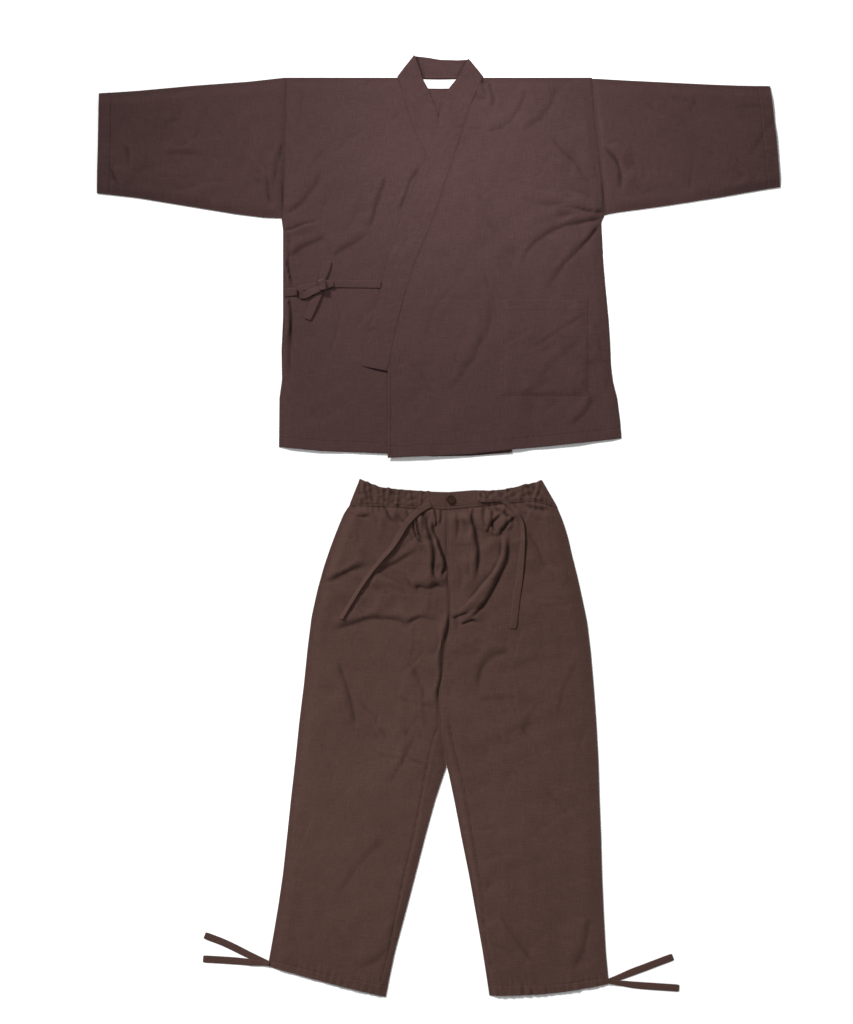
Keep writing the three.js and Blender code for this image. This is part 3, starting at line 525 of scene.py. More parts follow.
floorHalf, floorLevel = 6000.0, -0.2
floorPoints = np.array([(-1, -1, 0), (1, -1, 0), (1, 1, 0), (-1, 1, 0)], float) * floorHalf
floorPoints[:, 2] = floorLevel
floorPaper, floorTree, floorSurface = shaderOf("pale_floor")
floorGrain = linked(floorTree, "TexNoise", {"Scale": 30.0, "Detail": 2.0})
floorTone = linked(floorTree, "MapRange", {
    "Value": floorGrain, "To Min": light["floor"] - 0.01, "To Max": light["floor"] + 0.01})
feed(floorTree, floorSurface, {"Base Color": floorTone, "Roughness": 1.0, "Specular IOR Level": 0.0})
floor = meshFrom("floor", floorPoints, np.array([[0, 1, 2, 3]]), floorPaper)

world = bpy.data.worlds.new("studio")
world.use_nodes = True
world.node_tree.nodes["Background"].inputs["Color"].default_value = (1, 1, 1, 1)
world.node_tree.nodes["Background"].inputs["Strength"].default_value = light["sky"]
bpy.context.scene.world = world

sunData = bpy.data.lights.new("window_light", "SUN")
sunData.energy = light["sun"]
sunData.angle = np.radians(light["sunSoft"])
sun = newObject("window_light", sunData)
sun.rotation_euler = (0, np.radians(90 - light["sunHeight"]), np.radians(light["sunFrom"]))
for n, (x, y, height, side, watts) in enumerate(light["lamps"]):
    lampData = bpy.data.lights.new(f"lamp_{n}", "AREA")
    lampData.size = side
    lampData.energy = watts
    newObject(f"lamp_{n}", lampData).location = (x, y, height)
print("camera and light set")


# cloth thicknesses, middle levels of the lower and upper layers and of a fold's top, y of the shoulder fold
# and of the bands' ends, and the spacing of the grids
cut = {
    "thick": 0.8, "doubled": 1.7, "low": 0.5, "onLow": 1.4, "foldTop": 2.2,
    "shoulder": 875.0, "bandEnd": 303.0, "grid": 3.4,
}

# outlines of the jacket, from the shoulder down: y then x
jacketSides = {
    "right": [
        (875, -297), (790, -299), (690, -302), (600, -306), (578, -303), (407, -303), (344, -306),
        (286, -305), (251, -310), (150, -311), (120, -312),
    ],
    "left": [
        (875, 299), (793, 305), (715, 315), (606, 324), (594, 317), (516, 321), (469, 325), (407, 331),
        (364, 334), (313, 336), (282, 340), (251, 348), (204, 354), (165, 357), (120, 358),
    ],
}
jacketHems = {
    "right": [(-311, 155), (-231, 147), (-98, 142), (-13, 136.5), (63, 138), (143, 144)],
    "left": [(-98, 133.6), (-13, 137.5), (63, 141), (143, 150), (212, 156), (315, 167), (357, 172)],
}

# collar bands: level of the seam, its x, and the free edge's x and y
bands = {
    "right": [
        (875, -79, -46, 917), (855, -72, -32, 874), (835, -66, -20, 852), (808, -58, -10, 824),
        (765, -42, 8, 779), (719, -20, 28, 736), (611, 15, 65, 629), (479, 61, 112, 496),
        (358, 116, 165, 377), (303, 143, 192, 313),
    ],
    "left": [
        (875, 86, 57, 910), (855, 77, 40, 878), (836, 69, 22, 856), (817, 61, 8, 832), (797, 54, 2, 805),
        (765, 44, -2, 778), (734, 34, -12, 750), (683, 17, -32, 700), (621, -3, -56, 640), (572, -22, -76, 590),
        (510, -48, -98, 522), (448, -67, -114, 452), (370, -87, -138, 373), (303, -99, -150, 313),
    ],
}
underReach = [
    (920, -46), (874, -32), (824, -10), (779, 8), (736, 28), (629, 65), (496, 112), (377, 165), (315, 192),
    (290, 192), (262, 148), (100, 148),
]
freeEdges = {side: [(row[3], row[2]) for row in table] for side, table in bands.items()}
overReach = freeEdges["left"] + [(120, -100)]

frontRight = {
    "loft": 2.2, "hiddenLoft": 1.0, "hemFold": 21.0,
    "creases": [  # depth, width, side of the fold, line
        (2.0, 8.4, 1, [(-299, 605), (-251, 650), (-217, 719)]),
        (2.6, 3.8, -1, [(-303, 577), (-282, 581), (-258, 590), (-226, 598)]),
        (2.2, 8.4, 1, [(-290, 524), (-251, 553), (-208, 568)]),
        (1.8, 8.4, 1, [(-208, 526), (-169, 551), (-126, 572)]),
        (2.0, 7.0, -1, [(-293, 582), (-293, 529), (-286, 473)]),
        (2.6, 7.0, -1, [(-297, 446), (-290, 383), (-290, 340), (-293, 262)]),
        (2.0, 5.2, -1, [(-104, 684), (-112, 654), (-123, 614), (-141, 562)]),
        (1.8, 4.8, -1, [(-38, 704), (-54, 676), (-66, 640), (-82, 598)]),
        (4.6, 3.2, -1, [(-295, 447), (-290, 425), (-290, 398), (-293, 350)]),
        (4.2, 3.2, -1, [(-298, 528), (-294, 506), (-289, 484), (-289, 462)]),
        (1.0, 14.0, 0, [(-85, 705), (-104, 656), (-114, 607)]),
        (1.3, 7.0, 0, [(-292, 254), (-278, 231), (-262, 219)]),
        (1.3, 4.0, 0, [(-292, 742), (-289, 714), (-290, 684)]),
        (0.8, 19.6, 0, [(-231, 812), (-212, 754), (-219, 695)]),
        (0.7, 22.4, 0, [(-163, 841), (-153, 773), (-173, 715)]),
        (0.8, 22.4, 0, [(-251, 383), (-212, 325), (-202, 247)]),
    ],
}
frontLeft = {
    "loft": 2.4, "overUnder": 1.6, "hiddenRise": 0.7, "lowest": 4.3, "hemFold": 21.0, "facing": 6.0,
    "creases": [  # depth, width, side of the fold, line
        (3.0, 3.4, -1, [(89, 874), (87, 862), (89, 850), (95, 838)]),
        (2.4, 4.4, -1, [(97, 866), (100, 850), (104, 832), (101, 808)]),
        (1.6, 6.5, -1, [(168, 850), (162, 822), (148, 796), (118, 776), (72, 764)]),
        (1.5, 7.5, -1, [(232, 856), (216, 822), (188, 788), (146, 764)]),
        (2.2, 6.5, -1, [(216, 756), (248, 726), (276, 694), (308, 650)]),
        (1.8, 7.0, -1, [(325, 615), (286, 623), (229, 629), (149, 637)]),
        (2.5, 8.4, -1, [(323, 607), (286, 598), (241, 584), (200, 563), (171, 531), (157, 488)]),
        (2.2, 8.4, -1, [(317, 590), (284, 553), (243, 508), (192, 440)]),
        (1.6, 7.0, -1, [(311, 605), (266, 611), (208, 605)]),
        (2.2, 3.4, -1, [(322, 606), (305, 601), (284, 596), (250, 586)]),
        (3.0, 3.4, -1, [(322, 614), (300, 617), (272, 621), (236, 622)]),
        (1.8, 3.6, -1, [(320, 594), (304, 576), (284, 552), (262, 526)]),
        (1.0, 9.8, 0, [(159, 590), (100, 582), (46, 576)]),
        (1.1, 7.0, 0, [(-9, 541), (13, 527), (46, 522)]),
        (0.9, 7.0, 0, [(3, 504), (42, 496), (61, 504)]),
        (1.3, 4.9, 0, [(83, 508), (91, 481), (102, 457)]),
        (0.9, 4.9, 0, [(69, 504), (77, 477), (85, 455)]),
        (0.9, 4.2, 0, [(-65, 442), (3, 444), (61, 444), (116, 442)]),
        (1.5, 9.6, -1, [(104, 457), (93, 383), (71, 332), (36, 286), (3, 245)]),
        (1.3, 9.8, -1, [(-59, 329), (-40, 297), (-15, 270)]),
        (0.8, 12.6, 0, [(42, 403), (19, 354), (3, 321)]),
        (1.8, 7.0, -1, [(305, 251), (282, 219), (254, 192)]),
        (1.5, 7.0, 0, [(231, 249), (217, 233), (198, 214)]),
        (1.7, 5.6, 0, [(323, 313), (331, 293), (338, 274)]),
        (1.4, 8.4, -1, [(305, 399), (315, 360), (325, 309)]),
        (1.2, 11.2, 0, [(130, 568), (143, 539), (139, 490)]),
        (1.2, 9.8, 0, [(266, 516), (295, 481), (311, 442)]),
        (0.9, 12.6, 0, [(159, 237), (120, 198), (97, 169)]),
        (0.7, 16.8, 0, [(26, 676), (61, 637), (120, 607)]),
    ],
}


# share that rises from 0 at a side or the shoulder to 1 at a distance from both
def riseIn(inward, y, wide=22.0):
    return soft(inward / wide) * soft((cut["shoulder"] - y) / wide)


# middle height of the underlap: low at its seams, lofted where it shows, flatter where the overlap presses it
def underHeight(x, y):
    rise = riseIn(x - look(jacketSides["right"], y), y)
    hidden = soft((x - look(overReach, y) + 15) / 45)
    loft = mix(frontRight["loft"], frontRight["hiddenLoft"], hidden)
    uneven = 0.45 * waves(x, y, 150, 1) + 0.18 * waves(x, y, 46, 2)
    creases = creaseLift(x, y, frontRight["creases"], 1.0, 1.15)
    near = riseIn(x - look(jacketSides["right"], y), y, 8.0)
    z = cut["onLow"] + (loft + mix(uneven, 0.3 * uneven, hidden)) * rise + creases * (1 - hidden) * near
    return overAtLeast(z, cut["onLow"], 0.15)


# 1 where the underlap lies below the overlap, 0 where only the back does
def overShare(x, y):
    return 1 - soft((x - look(underReach, y) - 4) / 34)


# middle height of the overlap: over the back at the side, over the underlap and its band towards the front
def overHeight(x, y):
    rise = riseIn(look(jacketSides["left"], y) - x, y)
    share = overShare(x, y)
    base = cut["onLow"] + (frontLeft["loft"] + 0.5 * waves(x, y, 160, 3) + 0.2 * waves(x, y, 50, 4)) * rise
    onTop = frontLeft["overUnder"] + frontLeft["hiddenRise"] * rise
    z = base + onTop * share * rise
    near = riseIn(look(jacketSides["left"], y) - x, y, 8.0)
    z = z + creaseLift(x, y, frontLeft["creases"], 0.9, 1.3) * near
    return overAtLeast(z, mix(cut["onLow"], frontLeft["lowest"], share * rise), 0.3)


frontRight["creases"] += fineCreases(34, -290, 20, 160, 860, 7, 0.9)
frontLeft["creases"] += fineCreases(52, -90, 320, 170, 860, 8, 0.5)


# painted shade of the armhole seam: faint along it and strong above the underarm
def armholeShade(away, y):
    strong = 0.16 + 0.66 * bell((y - 648) / 32)
    return soft((y - 596) / 10) * strong * bell(away / 1.7)


# a front: levels from the shoulder to the hem, each from its left line to its right one
def frontPanel(name, leftAt, rightAt, hem, heightAt, detail, hemTurn, sides, armhole):
    hemLine = np.array(hem, float)
    width = hemLine[-1, 0] - hemLine[0, 0]
    tall = cut["shoulder"] - hemLine[:, 1].mean()
    s = places(width, cut["grid"], [0, width, *sides])[None, :]
    t = places(tall, cut["grid"], [0, tall, tall - hemTurn])[:, None]
    hemY = np.interp(mix(hemLine[0, 0], hemLine[-1, 0], s), hemLine[:, 0], hemLine[:, 1])
    y = mix(cut["shoulder"], hemY, t)
    x = mix(leftAt(y), rightAt(y), s)
    z = heightAt(x, y)
    fromHem = (1 - t) * tall + 0 * s
    fromLeft = s * (rightAt(y) - leftAt(y))
    fromRight = (1 - s) * (rightAt(y) - leftAt(y))
    z = z + detail(x, y, fromLeft, fromRight, fromHem)
    middle = np.stack([x, y, z], axis=-1)
    # painted shade along the armhole seam
    shade = armholeShade(fromLeft if armhole == "left" else fromRight, y)
    return clothShell(name, middle, cut["thick"], jacketCloth, wear=edgeWear(fromHem), paintedShade=shade)


# rolled hem: a doubled strip a little higher than the cloth above, stitched along its top
def hemForm(fromHem, along, turn, seed):
    strip = 0.16 * soft((turn + 1 - fromHem) / 3)
    edge = -0.5 * bell(fromHem / 1.6)
    return strip + edge + stitchDip(fromHem - turn, along, seed, 0.2)


# underlap: its rolled hem, and its side and its band's seam drawn down
def rightFrontDetail(x, y, fromLeft, fromRight, fromHem):
    side = -0.5 * bell(fromLeft / 2.5)
    seam = np.where(y > cut["bandEnd"], -0.3 * bell(fromRight / 2.0), 0)
    return (hemForm(fromHem, x, frontRight["hemFold"], 31) + side + seam) * 0.8


# overlap: its rolled hem, its side and its band's seam drawn down, and a stitched facing below the band
def leftFrontDetail(x, y, fromLeft, fromRight, fromHem):
    side = -0.75 * bell(fromRight / 2.5)
    below = soft((cut["bandEnd"] + 2 - y) / 4)
    seam = -0.05 * (1 - below) * bell(fromLeft / 1.8)
    facing = stitchDip(fromLeft - frontLeft["facing"], y, 33, 0.55) - 0.3 * bell(fromLeft / 1.5)
    return (hemForm(fromHem, x, frontLeft["hemFold"], 32) + side + seam + below * facing) * 0.8


# back: the lowest panel, flat, with faint creases pressed up into its underside
def backPanel():
    wide, tall, ease = 640, 720, 30
    t = places(tall, 7.0, [0])[:, None]
    s = places(wide, 7.0, [0, wide])[None, :]
    y = mix(cut["shoulder"] - 0.3, mix(160.0, 177.0, s), t)
    x = mix(look(jacketSides["right"], y), look(jacketSides["left"], y), s)
    press = overAtLeast(0.22 * waves(x, y, 95, 5) + creaseLift(x, y, backCreases, 0.5), 0.0, 0.1)
    inward = soft(np.minimum(s, 1 - s) * wide / ease) * soft((1 - t) * tall / ease) * soft(t * tall / ease)
    middle = np.stack([x, y, cut["low"] + np.minimum(press, 0.45) * inward], axis=-1)
    return clothShell("back_cloth", middle, cut["thick"], jacketCloth, wear=edgeWear((1 - t) * tall + 0 * s))


backCreases = [
    (1.0, 16.0, 1, [(-250, 690), (-170, 610), (-60, 560)]),
    (1.0, 14.0, -1, [(280, 640), (190, 590), (90, 480)]),
    (0.8, 18.0, 0, [(-120, 420), (-60, 330), (-90, 240)]),
    (0.8, 18.0, 0, [(200, 380), (140, 300), (170, 220)]),
    (0.7, 20.0, 0, [(40, 800), (10, 700), (60, 620)]),
]

piece = backPanel()
settle(piece, "back")

piece = frontPanel(
    "front_right_cloth", lambda y: look(jacketSides["right"], y),
    lambda y: np.where(
        y > cut["bandEnd"], look(bands["right"], np.maximum(y, cut["bandEnd"])), jacketHems["right"][-1][0]),
    jacketHems["right"], underHeight, rightFrontDetail, frontRight["hemFold"], [], "left",
)
settle(piece, "front_right")
print("back and underlap laid")

labelPlace = {"left": -33, "right": 37, "upper": 871.5, "lower": 854.5, "z": 1.75, "thick": 0.45}


# label: flat tape, puffed a little between its two sewn ends
def neckLabel():
    wide, tall = labelPlace["right"] - labelPlace["left"], labelPlace["upper"] - labelPlace["lower"]
    s = places(wide, 3.0, [2.5, wide - 2.5])[None, :]
    t = places(tall, 1.5)[:, None]
    x = mix(labelPlace["left"], labelPlace["right"], s) + 0 * t
    y = mix(labelPlace["upper"], labelPlace["lower"], t) - 0.8 * np.sin(np.pi * s)
    puff = 0.35 * np.sin(np.pi * s) ** 0.5 * np.sin(np.pi * t) ** 0.7
    middle = np.stack([x, y, labelPlace["z"] + puff + 0.12 * waves(x, y, 22, 61)], axis=-1)
    return clothShell("neck_label_cloth", middle, labelPlace["thick"], labelFinish)


piece = neckLabel()
settle(piece, "neck_label")
labelRows = [
    [(labelPlace[key] + inward, labelPlace["lower"] + 2.5), (labelPlace[key] + inward, labelPlace["upper"] - 1)]
    for key, inward in (("left", 1.6), ("right", -1.6))
]
stitches("label_stitching", labelRows, labelThread)


# collar bands: heights at the shoulder fold, over the label and on the back, puff, width, distance of the
# stitches from the free edge, and the y where a front's own height ends and where the shoulder fold starts
collar = {
    "fold": 4.6, "overLabel": 4.4, "backRise": 1.1, "puff": 0.35, "wide": 52, "rowStitch": 4.0,
    "frontTop": 850.0, "foldFrom": 868,
}


# height of a band: clear of its front, easing to its level over the label and then to the shoulder fold's
def bandHeight(x, y, frontHeight, clear, easeFrom, ease):
    low = frontHeight(x, np.minimum(y, collar["frontTop"])) + clear
    over = mix(low, collar["overLabel"], soft((y - easeFrom) / ease))
    return over + (collar["fold"] - collar["overLabel"]) * soft((y - collar["foldFrom"]) / 30)


# collar band: along its seam, across to the folded free edge; its shoulder end turns over to the back's level
def collarBand(name, table, towards, heightAt, seed):
    wide, inset = collar["wide"], collar["rowStitch"]
    s = places(wide, 3.0, [0, inset, wide - inset, wide])
    seamY = np.linspace(cut["shoulder"], cut["bandEnd"], 175)[:, None]
    seamX, freeX, freeY = (look(table, seamY, n, 2.0) for n in (1, 2, 3))
    x = mix(seamX + towards * 0.15, freeX, s[None, :])
    y = mix(seamY, freeY, s[None, :])
    z = heightAt(x, y)
    along = cut["shoulder"] - seamY
    fromSeam = s * wide
    puff = collar["puff"] * np.sin(np.pi * np.clip(s, 0, 1)) ** 0.6
    dips = -0.36 * bell(fromSeam / 1.6) + 0.10 * waves(along + 0 * s, 0 * along + fromSeam, 16, seed)
    z = z + puff - 0.2 + dips + stitchDip(fromSeam - (wide - inset) + 0 * along, along + 0 * s, seed + 1, 0.22)
    z = z - 0.5 * bell((seamY - cut["bandEnd"]) / 2.0)
    middle = np.stack([x, y, z], axis=-1)
    # half turn outside the shoulder fold, from the band's height down to the back's
    first = middle[0]
    line = first[-1, :2] - first[0, :2]
    out = np.array([-line[1], line[0]]) / np.linalg.norm(line)
    if out[1] < 0:
        out = -out
    angle = np.linspace(np.pi, np.pi / 10, 7)[:-1]
    turn = halfTurn(first, out, collar["backRise"], angle)
    middle = np.concatenate([turn.transpose(1, 0, 2), middle], axis=0)
    length = np.concatenate([np.linspace(-4, -0.5, len(angle)), along[:, 0]])
    flat = np.stack(np.broadcast_arrays(fromSeam[None, :], length[:, None]), axis=-1)
    wear = edgeWear((1 - s)[None, :] * wide + 0 * length[:, None])
    return clothShell(name, middle, cut["doubled"], jacketCloth, flat, wear, edge=0.8, up=(0.6, 0.5))


piece = collarBand(
    "collar_band_right_cloth", bands["right"], 1, lambda x, y: bandHeight(x, y, underHeight, 0.35, 832, 30), 41,
)
settle(
    piece, "collar_band_right",
)

piece = frontPanel(
    "front_left_cloth", lambda y: look(bands["left"], np.maximum(y, cut["bandEnd"])),
    lambda y: look(jacketSides["left"], y),
    jacketHems["left"], overHeight, leftFrontDetail, frontLeft["hemFold"], [frontLeft["facing"]], "right",
)
settle(piece, "front_left")

neckEdge = [(-46, 917), (-20, 914), (3, 910), (38, 909), (57, 910)]


# stretch of the collar behind the neck: between its two fold lines, its lower edge on the back's seam
def collarBack():
    wide, tall, rows = 130, 38, (4, 9, 32.5)
    s = places(wide, 3.0)[None, :]
    t = places(tall, 2.0, [0, 4, 9, 33, tall])[:, None]
    ends = bands["right"][0], bands["left"][0]
    lowX, highX = (mix(ends[0][n], ends[1][n], s) for n in (1, 2))
    highY = look(neckEdge, highX, 1, 3.0)
    x = mix(lowX, highX, t)
    y = mix(cut["shoulder"] - 1.0, highY, t)
    across = t * (highY - cut["shoulder"])
    dips = sum(stitchDip(across - row, x, 70 + n, 0.3) for n, row in enumerate(rows))
    overSeam = 1.1 * bell(across / 3.5)
    z = collar["backRise"] + 0.25 * np.sin(np.pi * t) + 0.15 * waves(x, y, 30, 71) + 0.6 * dips + overSeam
    # painted shadow beside the two bands that lie on it
    fromRight = np.maximum(x - look(freeEdges["right"][:2], y, 1, 0.1), 0)
    fromLeft = np.maximum(look(freeEdges["left"][:2], y, 1, 0.1) - x, 0)
    shade = 0.85 * bell(fromRight / 5.5) + 0.6 * bell(fromLeft / 5.0)
    return clothShell(
        "collar_band_back_cloth", np.stack([x, y, z], axis=-1), cut["doubled"], jacketCloth,
        wear=edgeWear((1 - t) * tall + 0 * s), edge=0.5, paintedShade=shade,
    )


piece = collarBack()
settle(piece, "collar_band_back")

piece = collarBand(
    "collar_band_left_cloth", bands["left"], -1, lambda x, y: bandHeight(x, y, overHeight, 0.45, 805, 55), 43,
)
settle(
    piece, "collar_band_left",
)
print("collar and overlap laid")


# sleeves: the fold along the top and the underarm seam from the body out, the cuff, the painted shade towards
# the cuff, flat size and creases
sleeves = {
    "right": {
        "name": "sleeve_right", "towards": -1, "body": "right", "seed": 81,
        "cuffBow": 0.0, "loft": 2.2, "cuffTurn": 24.0, "paintedCuffShade": 0.2,
        "fold": [(-297, 875), (-368, 867), (-477, 859), (-586, 849), (-662, 844)],
        "seam": [(-307, 601), (-340, 602), (-395, 609), (-492, 625), (-588, 641), (-666, 650)],
        "flat": (0.368, 0.508), "area": 0.170,
        "creases": [  # depth, width, side of the fold, line
            (1.4, 5.6, 0, [(-621, 830), (-609, 838), (-598, 843)]),
            (1.6, 7.0, 1, [(-609, 742), (-605, 722), (-607, 695)]),
            (1.8, 7.0, 1, [(-637, 699), (-627, 676), (-617, 656)]),
            (2.2, 5.5, -1, [(-302, 752), (-311, 722), (-317, 690), (-320, 640)]),
            (1.2, 7.0, -1, [(-334, 690), (-333, 656), (-326, 618)]),
            (1.0, 9.8, 0, [(-582, 670), (-543, 664), (-494, 660)]),
            (1.0, 19.6, 0, [(-358, 847), (-371, 773), (-368, 715)]),
            (0.8, 22.4, 0, [(-485, 832), (-514, 773), (-504, 705)]),
        ],
    },
    "left": {
        "name": "sleeve_left", "towards": 1, "body": "left", "seed": 83,
        "cuffBow": 2.0, "loft": 2.2, "cuffTurn": 24.0, "paintedCuffShade": 0.1,
        "fold": [(299, 873), (370, 869), (451, 865), (533, 861), (588, 859), (646, 858)],
        "seam": [(325, 607), (342, 611), (444, 625), (545, 641), (629, 656), (666, 662)],
        "flat": (0.346, 0.500), "area": 0.160,
        "creases": [  # depth, width, side of the fold, line
            (3.0, 8.4, 1, [(323, 738), (344, 711), (354, 676), (350, 643)]),
            (1.2, 5.6, 0, [(329, 637), (338, 625), (358, 637)]),
            (0.9, 14.0, 0, [(393, 773), (412, 734), (422, 685)]),
            (1.0, 8.4, 0, [(344, 676), (370, 695), (387, 719)]),
            (1.1, 7.0, 0, [(568, 664), (584, 676), (596, 695)]),
            (0.9, 7.0, 0, [(604, 672), (619, 683), (627, 703)]),
            (0.7, 22.4, 0, [(490, 812), (510, 754), (500, 695)]),
            (0.8, 11.2, 0, [(354, 847), (393, 832), (448, 824)]),
        ],
    },
}


# middle points of one sheet folded over a line: its upper layer, a half turn, and its lower layer
def foldedOver(upper, placeAt, count, out, low):
    below = placeAt(np.linspace(1, 0, count)[None, :])
    return np.concatenate([upper, halfTurn(upper[:, -1], out, low), below], axis=1)


# length along each row from its first point, for the flat map
def alongRows(middle):
    step = np.linalg.norm(np.diff(middle, axis=1), axis=2)
    return np.concatenate([np.zeros((middle.shape[0], 1)), np.cumsum(step, axis=1)], axis=1)


# sleeve: shares out from the body, and up from the underarm seam to the fold along its top
def sleeve(form):
    fold = np.array(form["fold"], float)
    seam = np.array(form["seam"], float)
    long, tall = abs(fold[-1, 0] - fold[0, 0]), 235
    u = places(long, cut["grid"], [0, long - form["cuffTurn"], long])[:, None]
    t = places(tall, cut["grid"], [0, tall])[None, :]
    alongFold = fold[0, 0] + (fold[-1, 0] - fold[0, 0]) * u
    alongSeam = seam[0, 0] + (seam[-1, 0] - seam[0, 0]) * u
    radius = (cut["foldTop"] - cut["low"]) / 2
    foldY = look(fold[:, :2], alongFold, 1, 6.0) - radius
    seamY = look(seam[:, :2], alongSeam, 1, 6.0)

    # flat places of one layer: between seam and fold at a share, and out from the body to the cuff
    def placeAt(share):
        y = mix(seamY, foldY, share)
        bodyX = look(jacketSides[form["body"]], y) + form["towards"] * 0.05
        cuffX = mix(seam[-1, 0], fold[-1, 0], share) + form["cuffBow"] * np.sin(np.pi * share)
        x = mix(bodyX, cuffX, u)
        return np.stack([x, y, np.full(x.shape, cut["low"])], axis=-1)

    upper = placeAt(t)
    x, y = upper[..., 0], upper[..., 1]
    rise = soft((y - seamY) / 20) * soft((foldY - y) / 24) * soft(u * long / 14)
    uneven = 0.45 * waves(x, y, 150, form["seed"]) + 0.2 * waves(x, y, 48, form["seed"] + 1)
    lift = form["loft"] + uneven + creaseLift(x, y, form["creases"], 1.1, 1.2)
    z = mix(cut["onLow"], cut["foldTop"], t) + lift * rise
    fromCuff = (1 - u) * long + 0 * t
    z = z + 0.3 * soft((form["cuffTurn"] + 1 - fromCuff) / 2)
    z = z + 0.8 * stitchDip(fromCuff - form["cuffTurn"], y, form["seed"] + 2, 0.5)
    z = z - 0.6 * bell(u * long / 2.5)
    upper[..., 2] = overAtLeast(z, cut["onLow"], 0.2)
    middle = foldedOver(upper, placeAt, 30, (0, 1), cut["low"])
    flat = np.stack([middle[..., 0], alongRows(middle)], axis=-1)
    fromCuff = np.repeat((1 - u) * long, middle.shape[1], axis=1)
    # painted shade: darker towards the cuff, added to the painted shade of the armhole seam
    paintedCuffShade = form["paintedCuffShade"] * soft((np.abs(middle[..., 0]) - 430) / 230)
    shade = armholeShade(long - fromCuff, middle[..., 1]) + paintedCuffShade
    piece = clothShell(
        form["name"] + "_cloth", middle, cut["thick"], jacketCloth, flat, edgeWear(fromCuff), paintedShade=shade,
    )
    settle(piece, form["name"])


sleeves["right"]["creases"] += fineCreases(24, -650, -310, 640, 850, 9, 0.2)
sleeves["left"]["creases"] += fineCreases(24, 310, 640, 640, 850, 10, 0.2)
for form in sleeves.values():
    sleeve(form)
print("sleeves laid")


# pocket: its sides, the depth of its mouth's turn, its stitches' inset and its clearance over the front
pocket = {
    "left": 122.0, "right": 290.5, "lower": 256.0, "upper": 442.0, "mouth": 20.0, "inset": 3,
    "clear": 0.95, "least": 0.72,
    "creases": [  # depth, width, side of the fold, line
        (1.8, 7.0, -1, [(288, 414), (256, 395), (214, 368), (167, 332)]),
        (1.6, 8.4, -1, [(288, 368), (249, 340), (208, 301), (178, 262)]),
        (0.9, 4.9, 0, [(130, 434), (149, 430), (178, 434)]),
        (0.9, 4.2, 0, [(128, 321), (141, 317), (159, 323)]),
        (0.7, 9.8, 0, [(178, 383), (159, 354), (143, 340)]),
        (0.8, 5.6, 0, [(237, 436), (247, 424), (256, 412)]),
    ],
}


# patch pocket: follows the front below it, held down at its stitched edges and free along its mouth
def patchPocket():
    wide = pocket["right"] - pocket["left"]
    tall = pocket["upper"] - pocket["lower"]
    inset = pocket["inset"]
    s = places(wide, 2.6, [0, inset, wide - inset, wide])[None, :]
    t = places(tall, 2.6, [0, pocket["mouth"], tall - inset, tall])[:, None]
    x = mix(pocket["left"], pocket["right"], s) + 0.6 * np.sin(2 * np.pi * t) * (1 - 2 * s)
    y = mix(pocket["upper"], pocket["lower"], t) + 0.5 * waves(mix(0, wide, s), 0 * s, 70, 92, 6) * (1 - t)
    sideway = np.minimum(s, 1 - s) * wide + 0 * t
    down = t * tall + 0 * s
    up = (1 - t) * tall + 0 * s
    free = soft(sideway / 14) * soft(up / 14)
    rise = pocket["clear"] + (0.9 + 0.3 * waves(x, y, 60, 93)) * free
    z = overHeight(x, y) + rise + creaseLift(x, y, pocket["creases"], 0.6, 1.5) * free
    z = z + 0.08 * soft((pocket["mouth"] + 1 - down) / 3)
    z = z + 0.8 * stitchDip(down - pocket["mouth"], x + 0 * t, 94, 0.06)
    sewn = np.minimum(sideway, up)
    z = z + stitchDip(sewn - inset, x + y, 95, 0.25) - 0.35 * bell(sewn / 1.8)
    z = overAtLeast(z, overHeight(x, y) + pocket["least"], 0.1)
    middle = np.stack([x, y, z], axis=-1)
    wear = edgeWear(sideway, up, down)
    return clothShell("pocket_cloth", middle, cut["thick"], jacketCloth, wear=wear, edge=0.45)


piece = patchPocket()
settle(piece, "pocket")
print("pocket laid")


